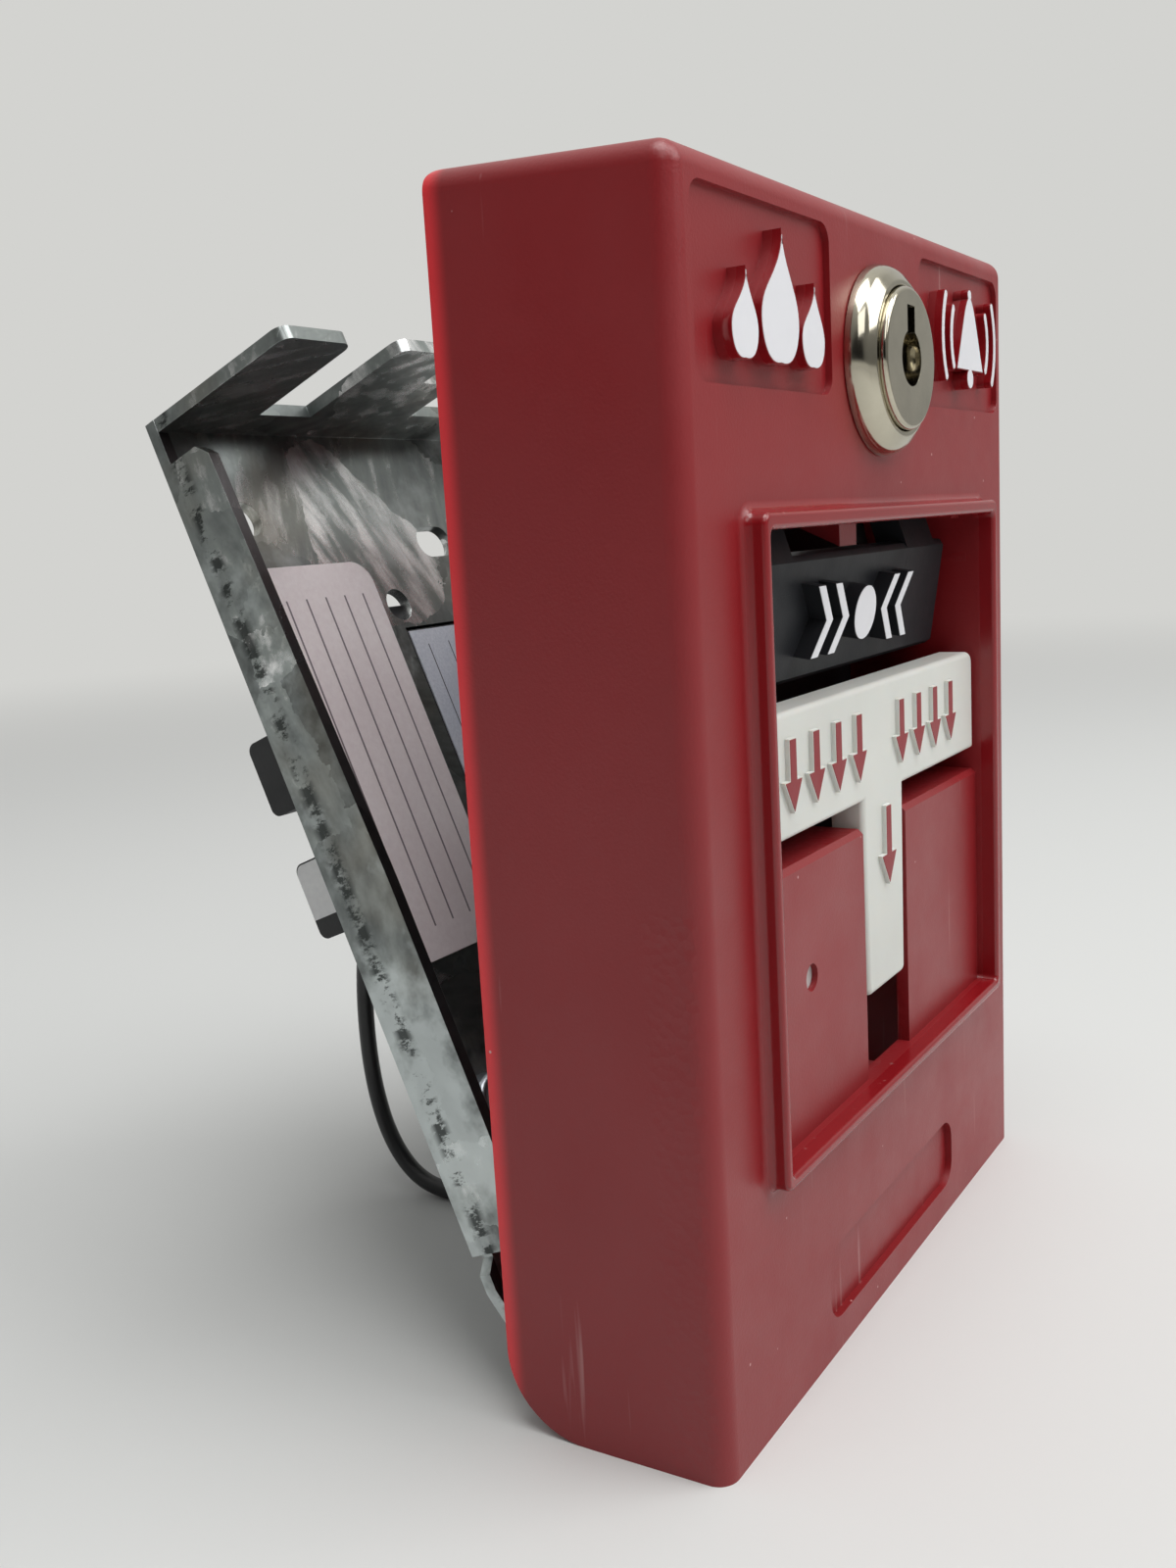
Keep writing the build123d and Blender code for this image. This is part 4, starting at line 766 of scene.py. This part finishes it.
@dataclass(frozen=True)
class Print:
    """Ink on the faces of a node that face one way at one level."""

    name: str
    node: str
    facing: Vector
    level: float  # distance of those faces along facing, in metres
    ink: Finish
    slot: str
    above: float = -math.inf  # Z in metres that the middle of a printed face lies over
    margin_mm: float = 0.12  # how far the ink stops inside each face's edge
    thick_mm: float = 0.05

    def leaves(self, face: bmesh.types.BMFace) -> bool:
        """Tells whether a face stays without ink.

        Args:
            face: a face of the node's merged copy.

        Returns:
            True when it faces another way, lies at another level or is too low.
        """
        middle = face.calc_center_median()
        off = abs(middle.dot(self.facing) - self.level) > 0.05 * MM
        return off or face.normal.dot(self.facing) < 0.999 or middle.z <= self.above


@dataclass
class Assembly:
    """A sub-assembly: pieces that ride on one body of the model."""

    body: Body
    parts: Sequence[Union[Coat, Print]] = ()
    made: dict[str, bpy.types.Object] = field(default_factory=dict)

    def build(self) -> None:
        """Dresses every node and lays every print, in order."""
        for part in self.parts:
            self.apply(part)

    def own(self, piece: bpy.types.Object, slot: str) -> bpy.types.Object:
        """Hangs a piece on this sub-assembly's body and notes it among the pieces made.

        Args:
            piece: the finished piece.
            slot: not used.

        Returns:
            The same piece.
        """
        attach(piece, self.body.value)
        self.made[piece.name] = piece
        LOG.info("%s rides on %s", piece.name, self.body.value)
        return piece

    def apply(self, part: Union[Coat, Print]) -> bpy.types.Object:
        """Dresses one CAD node, or prints on it.

        Args:
            part: the node's finish, or the print.

        Returns:
            The piece that shows it.
        """
        if isinstance(part, Print):
            return self.caps(part)
        return self.skin(part) if part.slot else self.paint(part)

    def paint(self, coat: Coat) -> bpy.types.Object:
        """Keeps a CAD node's shape and gives it a finish.

        Args:
            coat: the node and its finish.

        Returns:
            The node's own object.
        """
        piece = frame["nodes"][coat.node]
        for slot in piece.material_slots:
            slot.material = coat.finish.material()
        self.made[coat.node] = piece
        LOG.info("%s is %s", coat.node, coat.finish.name)
        return piece

    def skin(self, coat: Coat) -> bpy.types.Object:
        """Stands a merged copy with softened edges in for a CAD node.

        Args:
            coat: the node, its finish, slot and edge.

        Returns:
            The new piece.
        """
        piece = finished(coat.node + "_skin", merged_copy(coat.node), coat.finish)
        soften = piece.modifiers.new("edges", "BEVEL")
        soften.limit_method = "ANGLE"
        soften.angle_limit = CREASE
        soften.width = coat.edge_mm * MM
        soften.segments = 2
        soften.use_clamp_overlap = True
        weigh = piece.modifiers.new("shading", "WEIGHTED_NORMAL")
        weigh.keep_sharp = True
        weigh.weight = 80
        self.own(piece, coat.slot)
        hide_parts(coat.node)
        return piece

    def caps(self, marks: Print) -> bpy.types.Object:
        """Lays a film of ink on a node's raised marks.

        Args:
            marks: the faces and the ink.

        Returns:
            The new piece.
        """
        mesh = merged_copy(marks.node)
        away = [face for face in mesh.faces if marks.leaves(face)]
        bmesh.ops.delete(mesh, geom=away, context="FACES")
        margin = marks.margin_mm * MM
        rim = bmesh.ops.inset_region(
            mesh, faces=mesh.faces[:], thickness=margin, use_boundary=True, use_even_offset=True
        )
        bmesh.ops.delete(mesh, geom=rim["faces"], context="FACES")
        lifted = bmesh.ops.extrude_face_region(mesh, geom=mesh.faces[:], use_keep_orig=True)
        top = [part for part in lifted["geom"] if isinstance(part, bmesh.types.BMVert)]
        bmesh.ops.translate(mesh, verts=top, vec=marks.facing * marks.thick_mm * MM)
        bmesh.ops.recalc_face_normals(mesh, faces=mesh.faces)
        return self.own(finished(marks.name, mesh, marks.ink), marks.slot)


# ---------------------------------------------------------------- finishes of this object

BAR_RISE = 20.5 * MM  # from the lever's foot to just below its bar
red = RedCoverPlastic(
    "moulded_red_polycarbonate",
    colour="85151b",
    roughness=0.4,
    grain_mm=0.32,
    grain_height_mm=0.02,
    cloud=0.05,
    proud_of=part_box("light_pipe")[0].y - 1.2 * MM,
    back=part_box("front_cover")[1].y,
    leather_top=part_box("pull_handle")[0].z + BAR_RISE,
)


def plastic(name: str, colour: str, roughness: float, grain_mm: float, **more: float) -> Finish:
    """Plain moulded plastic; more holds what else differs from the usual."""
    return MouldedPlastic(name, colour=colour, roughness=roughness, grain_mm=grain_mm, **more)


white_ink = plastic("hot_stamped_white", "e4e4e8", 0.34, 0.9, cloud=0.02)
red_ink = plastic("hot_stamped_red", "86141e", 0.36, 0.9, specular=0.3)
black = plastic("moulded_black_abs", "222326", 0.42, 0.3, specular=0.12)
matte_black = plastic("matte_black_polycarbonate", "1d1e20", 0.55, 0.45, grain_height_mm=0.02)
white = plastic("moulded_white_abs", "d3d4ce", 0.36, 0.8, grain_height_mm=0.006, subsurface=0.15)
case_black = plastic("phenolic_switch_case", "2b2623", 0.5, 0.5)
plunger_red = plastic("acetal_plunger", "a8312c", 0.35, 0.8)
board = plastic("solder_masked_board", "1d4f33", 0.3, 0.8)
green = plastic("green_polyamide", "2f7d4c", 0.42, 0.5)
pvc_black = plastic("black_pvc_insulation", "19191b", 0.38, 1.4)
pvc_white = plastic("white_pvc_insulation", "d9dad8", 0.4, 1.4)

nickel = Metal("polished_nickel_plate", colour="b9b3a2", roughness=0.13, spread=0.05)
zinc = Metal("zinc_plated_steel", colour="b9bec4", roughness=0.3)
spring = Metal("blued_spring_steel", colour="6d6a66", roughness=0.28)
brass = Metal("sintered_bronze", colour="a8854f", roughness=0.42)

clear = ClearPlastic("acrylic_light_pipe", "d9d4d2", roughness=0.25, transmission=0.25)
nylon = ClearPlastic("natural_nylon_sleeve", "e8e4da", roughness=0.25, transmission=0.7)
led = ClearPlastic("red_diffused_lens", "c02a22", roughness=0.3, transmission=0.5)

# The mounting plate leans back from the hinge line that it swings on.
REST_LEAN = math.radians(22.3)
WEB_TO_HINGE = 6.7 * MM  # from the plate's rear face forward to the hinge line
plate_low, plate_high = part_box("mounting_plate")
hinge = Vector(next(joint for joint in frame["joints"] if joint["name"] == "plate_swing")["pos_m"])
rearward = Vector((0, math.cos(REST_LEAN), -math.sin(REST_LEAN)))
sheet = Sheet(lean=REST_LEAN, origin=tuple(hinge + rearward * WEB_TO_HINGE))
galvanised = GalvanisedSteel(
    "hot_dip_galvanised_sheet", sheet=sheet, half_width=(plate_high.x - plate_low.x) / 2
)
blank_paper = PrintedFoil("satin_label_stock")
paper = PrintedFoil(
    "ruled_satin_label_stock",
    colour="f3eaeb",
    dark="e8dcde",
    sheet=sheet,
    rules=Rules(-39.4, -22.0, 48.5, 89.5, 3.3, 0.28, "7d7277"),
)
silver = PrintedFoil(
    "ruled_metallised_label_stock",
    colour="e4e7f0",
    dark="c2c6d3",
    speck_mm=0.35,
    roughness=0.35,
    sheet=sheet,
    rules=Rules(-14.0, 26.0, 52.0, 82.0, 4.1, 0.2, "4a4d58"),
)


# ---------------------------------------------------------------- sub-assemblies

COVER_MARK_PROUD = 1.2 * MM
COVER_MARKS_ABOVE = 0.1
PUSH_PLATE_TILT = math.radians(9.0)
push_front = Vector((0, -math.cos(PUSH_PLATE_TILT), -math.sin(PUSH_PLATE_TILT)))


@dataclass
class CoverAssembly(Assembly):
    """The moulded front cover with its light pipe, pins, guard and leaf springs."""

    def build(self) -> None:
        """Dresses the cover, then takes the push plate's leaf springs off the body with their
        transform baked in, and gives the detent spring a mesh of its own.
        """
        super().build()
        leaves = self.made["push_plate_springs_skin"]
        leaves.parent = None
        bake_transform(leaves)
        detent = self.made["handle_detent_spring_skin"]
        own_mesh(detent)


@dataclass(frozen=True)
class Lead:
    """An insulated lead, from the module's bushing to the switch's receptacle."""

    name: str
    node: str  # the CAD node that it stands for
    finish: Finish
    diameter: float
    length: float
    route: tuple[Point, ...]  # control points of its curve


LEADS = (
    Lead(
        "black_lead",
        "lead_black",
        pvc_black,
        diameter=0.0024,
        length=0.1054,
        route=(
            (-0.006, 0.054796, 0.051473),
            (-0.006, 0.064048, 0.047678),
            (-0.0064, 0.0696, 0.0378),
            (-0.0069, 0.0706, 0.0258),
            (-0.0076, 0.0694, 0.0144),
            (-0.0082, 0.0659, 0.0059),
            (-0.0086, 0.0598, 0.0012),
            (-0.0076, 0.0508, 0.0012),
            (-0.0046, 0.0415, 0.0012),
            (-0.0012, 0.0332, 0.0036),
            (0.0, 0.029375, 0.011099),
            (0.0, 0.03279, 0.019426),
        ),
    ),
    Lead(
        "white_lead",
        "lead_white",
        pvc_white,
        diameter=0.0022,
        length=0.1004,
        route=(
            (0.0005, 0.054796, 0.051473),
            (0.0005, 0.064048, 0.047678),
            (0.0002, 0.068, 0.0386),
            (-0.0006, 0.0682, 0.0272),
            (-0.0012, 0.0666, 0.0162),
            (-0.0008, 0.0624, 0.0074),
            (0.0008, 0.0564, 0.0011),
            (0.0024, 0.0486, 0.0011),
            (0.0042, 0.0412, 0.0011),
            (0.0054, 0.0334, 0.0037),
            (0.0059, 0.029375, 0.011099),
            (0.0059, 0.03279, 0.019426),
        ),
    ),
)


@dataclass
class PlateAssembly(Assembly):
    """The galvanised mounting plate with its switch, module, labels and leads."""

    def build(self) -> None:
        """Dresses the plate and all that it carries."""
        super().build()
        for lead in LEADS:
            self.lay(lead)

    def lay(self, lead: Lead) -> bpy.types.Object:
        """Lays one lead along its route, on one smooth curve.

        Args:
            lead: the lead.

        Returns:
            The new piece.
        """
        data = bpy.data.curves.new(lead.name, "CURVE")
        data.dimensions = "3D"
        data.bevel_depth = lead.diameter / 2
        data.bevel_resolution = 5
        data.resolution_u = 16
        data.use_fill_caps = True
        spline = data.splines.new("NURBS")
        spline.points.add(len(lead.route) - 1)
        for point, place in zip(spline.points, lead.route):
            point.co = (*place, 1.0)
        spline.order_u = 3
        spline.use_endpoint_u = True
        data.materials.append(lead.finish.material())
        piece = bpy.data.objects.new(lead.name, data)
        bpy.context.scene.collection.objects.link(piece)
        self.own(piece, lead.node)
        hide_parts(lead.node)
        return piece


def zinc_plated(node: str, edge_mm: float) -> Coat:
    """The coat of small steel pieces, such as screws and pins."""
    return Coat(node, zinc, "zinc_steel", edge_mm)


def assemblies() -> tuple[Assembly, ...]:
    """Lists every sub-assembly with what it is dressed in.

    Returns:
        The sub-assemblies, in the order that they are built.
    """
    push_vertices = frame["nodes"]["push_plate"].data.vertices
    push_level = max(vertex.co.dot(push_front) for vertex in push_vertices)
    lever_level = -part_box("pull_handle")[0].y
    cover_marks = Print(
        "cover_artwork_print",
        "front_cover",
        FRONT,
        -red.proud_of + COVER_MARK_PROUD,
        white_ink,
        "white_plastic",
        above=COVER_MARKS_ABOVE,
    )
    lever_marks = Print("lever_mark_print", "pull_handle", FRONT, lever_level, red_ink, "red_cover")
    push_marks = Print(
        "push_mark_print",
        "push_plate",
        push_front,
        push_level,
        white_ink,
        "white_plastic",
        margin_mm=0.1,
    )
    return (
        CoverAssembly(
            Body.COVER,
            (
                Coat("front_cover", red, "red_cover", 0.12),
                cover_marks,
                Coat("light_pipe", clear),
                zinc_plated("handle_pivot_pin", 0.1),
                zinc_plated("push_plate_rod", 0.1),
                Coat("pin_clips", spring, "spring_steel", 0.05),
                Coat("push_plate_springs", spring, "spring_steel", 0.05),
                Coat("handle_detent_spring", spring, "spring_steel", 0.05),
                Coat("mechanism_guard", matte_black, "black_plastic", 0.15),
                zinc_plated("guard_screws", 0.06),
                Coat("lock_body", nickel, "nickel", 0.15),
                zinc_plated("lock_nut", 0.12),
            ),
        ),
        Assembly(
            Body.LOCK,
            (
                Coat("lock_plug", nickel, "nickel", 0.12),
                Coat("key_post", nickel),
                zinc_plated("lock_cam", 0.12),
                zinc_plated("cam_screw", 0.08),
            ),
        ),
        Assembly(
            Body.LEVER,
            (
                Coat("pull_handle", white, "white_plastic", 0.25),
                lever_marks,
                Coat("handle_bushing", brass, "brass_bushing", 0.1),
            ),
        ),
        Assembly(Body.PUSHER, (Coat("push_plate", black, "black_plastic", 0.2), push_marks)),
        PlateAssembly(
            Body.PLATE,
            (
                Coat("mounting_plate", galvanised, "galvanised", 0.12),
                Coat("plate_label", paper, "paper_label", 0.04),
                Coat("module_front_label", silver, "silver_label", 0.04),
                Coat("module_side_label", blank_paper, "paper_label", 0.04),
                Coat("module_housing", matte_black, "black_plastic", 0.25),
                Coat("module_cover", matte_black, "black_plastic", 0.2),
                Coat("module_circuit_board", board, "board_green", 0.1),
                Coat("status_led", led),
                zinc_plated("module_screws", 0.08),
                zinc_plated("switch_screws", 0.08),
                zinc_plated("ground_screw", 0.08),
                zinc_plated("terminal_screws", 0.06),
                Coat("switch_body", case_black, "switch_case", 0.2),
                zinc_plated("switch_terminals", 0.08),
                Coat("lead_bushings", matte_black, "black_plastic", 0.15),
                Coat("terminal_block", green, "terminal_green", 0.2),
                Coat("lead_receptacles", nylon, "receptacle_clear", 0.4),
            ),
        ),
        Assembly(Body.PLUNGER, (Coat("switch_plunger", plunger_red),)),
    )


# ---------------------------------------------------------------- floor, lamps, world and camera

FLOOR_RADIUS = 4.0
FLOOR_SIDES = 96
DOORWAY = (-0.84, -0.54, 0.02)  # direction of the room's dark doorway


@dataclass(frozen=True)
class StudioFloor(Finish):
    """Matt white board that melts into the background away from the object."""

    colour: str = "d6d7d5"
    far: str = "d3d3d0"
    near_radius: float = 0.35
    far_radius: float = 1.1

    def dress(self, tree: Tree, shader: Node) -> None:
        """Gives the board its colour."""
        fill(tree, shader, {"Base Color": srgb(self.colour), "Roughness": 0.6})

    def surface(self, tree: Tree, shader: Node) -> Socket:
        """Fades the board into the background's colour with distance.

        Args:
            tree: the material's nodes.
            shader: its Principled shader.

        Returns:
            The socket of the faded board.
        """
        reach = add_node(tree, "VectorMath", {0: coordinates(tree)}, operation="LENGTH")
        span = (self.near_radius, self.far_radius)
        fade = mapped(tree, reach.outputs["Value"], span, (0.0, 1.0), smooth=True)
        glow = add_node(tree, "Emission", {"Color": srgb(self.far), "Strength": 1.0})
        both = {0: fade, 1: shader.outputs["BSDF"], 2: glow.outputs["Emission"]}
        return add_node(tree, "MixShader", both).outputs["Shader"]


@dataclass(frozen=True)
class Lamp:
    """A soft box: its place, the side of its square and its power."""

    name: str
    place: Point
    side: float
    watts: float

    def hang(self, target: Vector) -> None:
        """Adds the lamp to the scene.

        Args:
            target: the point that it faces.
        """
        data = bpy.data.lights.new(self.name, "AREA")
        data.shape = "SQUARE"
        data.size = self.side
        data.energy = self.watts
        lamp = bpy.data.objects.new(self.name, data)
        lamp.location = self.place
        lamp.rotation_euler = (target - Vector(self.place)).to_track_quat("-Z", "Y").to_euler()
        bpy.context.scene.collection.objects.link(lamp)


@dataclass
class Studio:
    """Pale floor, soft lamps, background and the camera."""

    ambient: float = 0.36
    background: str = "d3d3d0"
    camera_place: Point = (-0.15814, -0.06886, 0.09401)
    camera_heading: float = 0.575329
    camera_dip: float = 0.177280
    camera_roll: float = -0.0585897
    lens_mm: float = 33.09
    lamps: tuple[Lamp, ...] = (
        Lamp("key_lamp", (0.32, -0.78, 0.85), 0.8, 6.5),
        Lamp("left_lamp", (-0.45, -0.58, 0.7), 0.45, 1.3),
        Lamp("top_lamp", (-0.1, -0.2, 1.0), 0.6, 5.5),
    )

    def build(self) -> None:
        """Sets up everything round the object."""
        self.lay_floor()
        self.light_world()
        low, high = CAD_BOX
        for lamp in self.lamps:
            lamp.hang((low + high) / 2)
        self.place_camera()
        bpy.context.scene.view_settings.view_transform = "Standard"

    def lay_floor(self) -> None:
        """Lays a round floor that meets the object's foot."""
        mesh = bmesh.new()
        bmesh.ops.create_circle(mesh, cap_ends=True, segments=FLOOR_SIDES, radius=FLOOR_RADIUS)
        floor = finished("floor", mesh, StudioFloor("matt_white_board", far=self.background))

    def light_world(self) -> None:
        """Lights from all round, and shows the pale background to the eye and to metal."""
        world = bpy.data.worlds.new("studio")
        bpy.context.scene.world = world
        world.use_nodes = True
        tree = world.node_tree
        tree.nodes.clear()

        def background(code: str, strength: Union[Socket, float]) -> Socket:
            """Even light of one colour."""
            inputs = {"Color": srgb(code), "Strength": strength}
            return add_node(tree, "Background", inputs).outputs["Background"]

        path = add_node(tree, "LightPath").outputs
        seen = reckon(tree, "MAXIMUM", path["Is Camera Ray"], path["Is Transmission Ray"])
        room = self.room(tree)
        ambient = background("ffffff", reckon(tree, "MULTIPLY", room, self.ambient))
        mirrored = background(self.background, room)
        shown = background(self.background, 1.0)
        lit = add_node(tree, "MixShader", {0: path["Is Glossy Ray"], 1: ambient, 2: mirrored})
        mixed = add_node(tree, "MixShader", {0: seen, 1: lit.outputs["Shader"], 2: shown})
        add_node(tree, "OutputWorld", {"Surface": mixed.outputs["Shader"]})

    def room(self, tree: Tree) -> Socket:
        """A room that is bright overhead, and dim below, in front and to the left.

        Args:
            tree: the world's nodes.

        Returns:
            The socket of its brightness in each direction.
        """
        way = coordinates(tree, "Generated")
        overhead = mapped(tree, along(tree, way, "Z"), (-0.3, 0.9), (0.45, 1.35))
        rearward = mapped(tree, along(tree, way, "Y"), (-0.8, -0.2), (0.45, 1.0))
        rightward = mapped(tree, along(tree, way, "X"), (-1.0, -0.1), (0.22, 1.0))
        toward = add_node(tree, "VectorMath", {0: way, 1: DOORWAY}, operation="DOT_PRODUCT")
        walls = mapped(tree, toward.outputs["Value"], (0.8, 0.95), (1.0, 0.12), smooth=True)
        brightness = overhead
        for factor in (rearward, rightward, walls):
            brightness = reckon(tree, "MULTIPLY", brightness, factor)
        return brightness

    def place_camera(self) -> None:
        """Looks at the object from its front left, low and close."""
        heading, dip, roll = self.camera_heading, self.camera_dip, self.camera_roll
        level = math.cos(dip)
        ahead = Vector((level * math.cos(heading), level * math.sin(heading), -math.sin(dip)))
        right = Vector((math.sin(heading), -math.cos(heading), 0))
        up = right.cross(ahead)
        across = math.cos(roll) * right + math.sin(roll) * up
        upward = math.cos(roll) * up - math.sin(roll) * right
        data = bpy.data.cameras.new("camera")
        data.lens = self.lens_mm
        data.sensor_width = 36.0
        data.clip_start = 0.01
        camera = bpy.data.objects.new("camera", data)
        bpy.context.scene.collection.objects.link(camera)
        turn = camera.matrix_world.copy()
        for row in range(3):
            turn[row][0], turn[row][1], turn[row][2] = across[row], upward[row], -ahead[row]
            turn[row][3] = self.camera_place[row]
        camera.matrix_world = turn
        bpy.context.scene.camera = camera


def main() -> None:
    """Builds the sub-assemblies in order, then the studio round them."""
    logging.basicConfig(level=logging.INFO, format="%(message)s")
    for assembly in assemblies():
        assembly.build()
        LOG.info("%s: %d pieces", assembly.body.value, len(assembly.made))
    Studio().build()


if __name__ == "__main__":
    main()
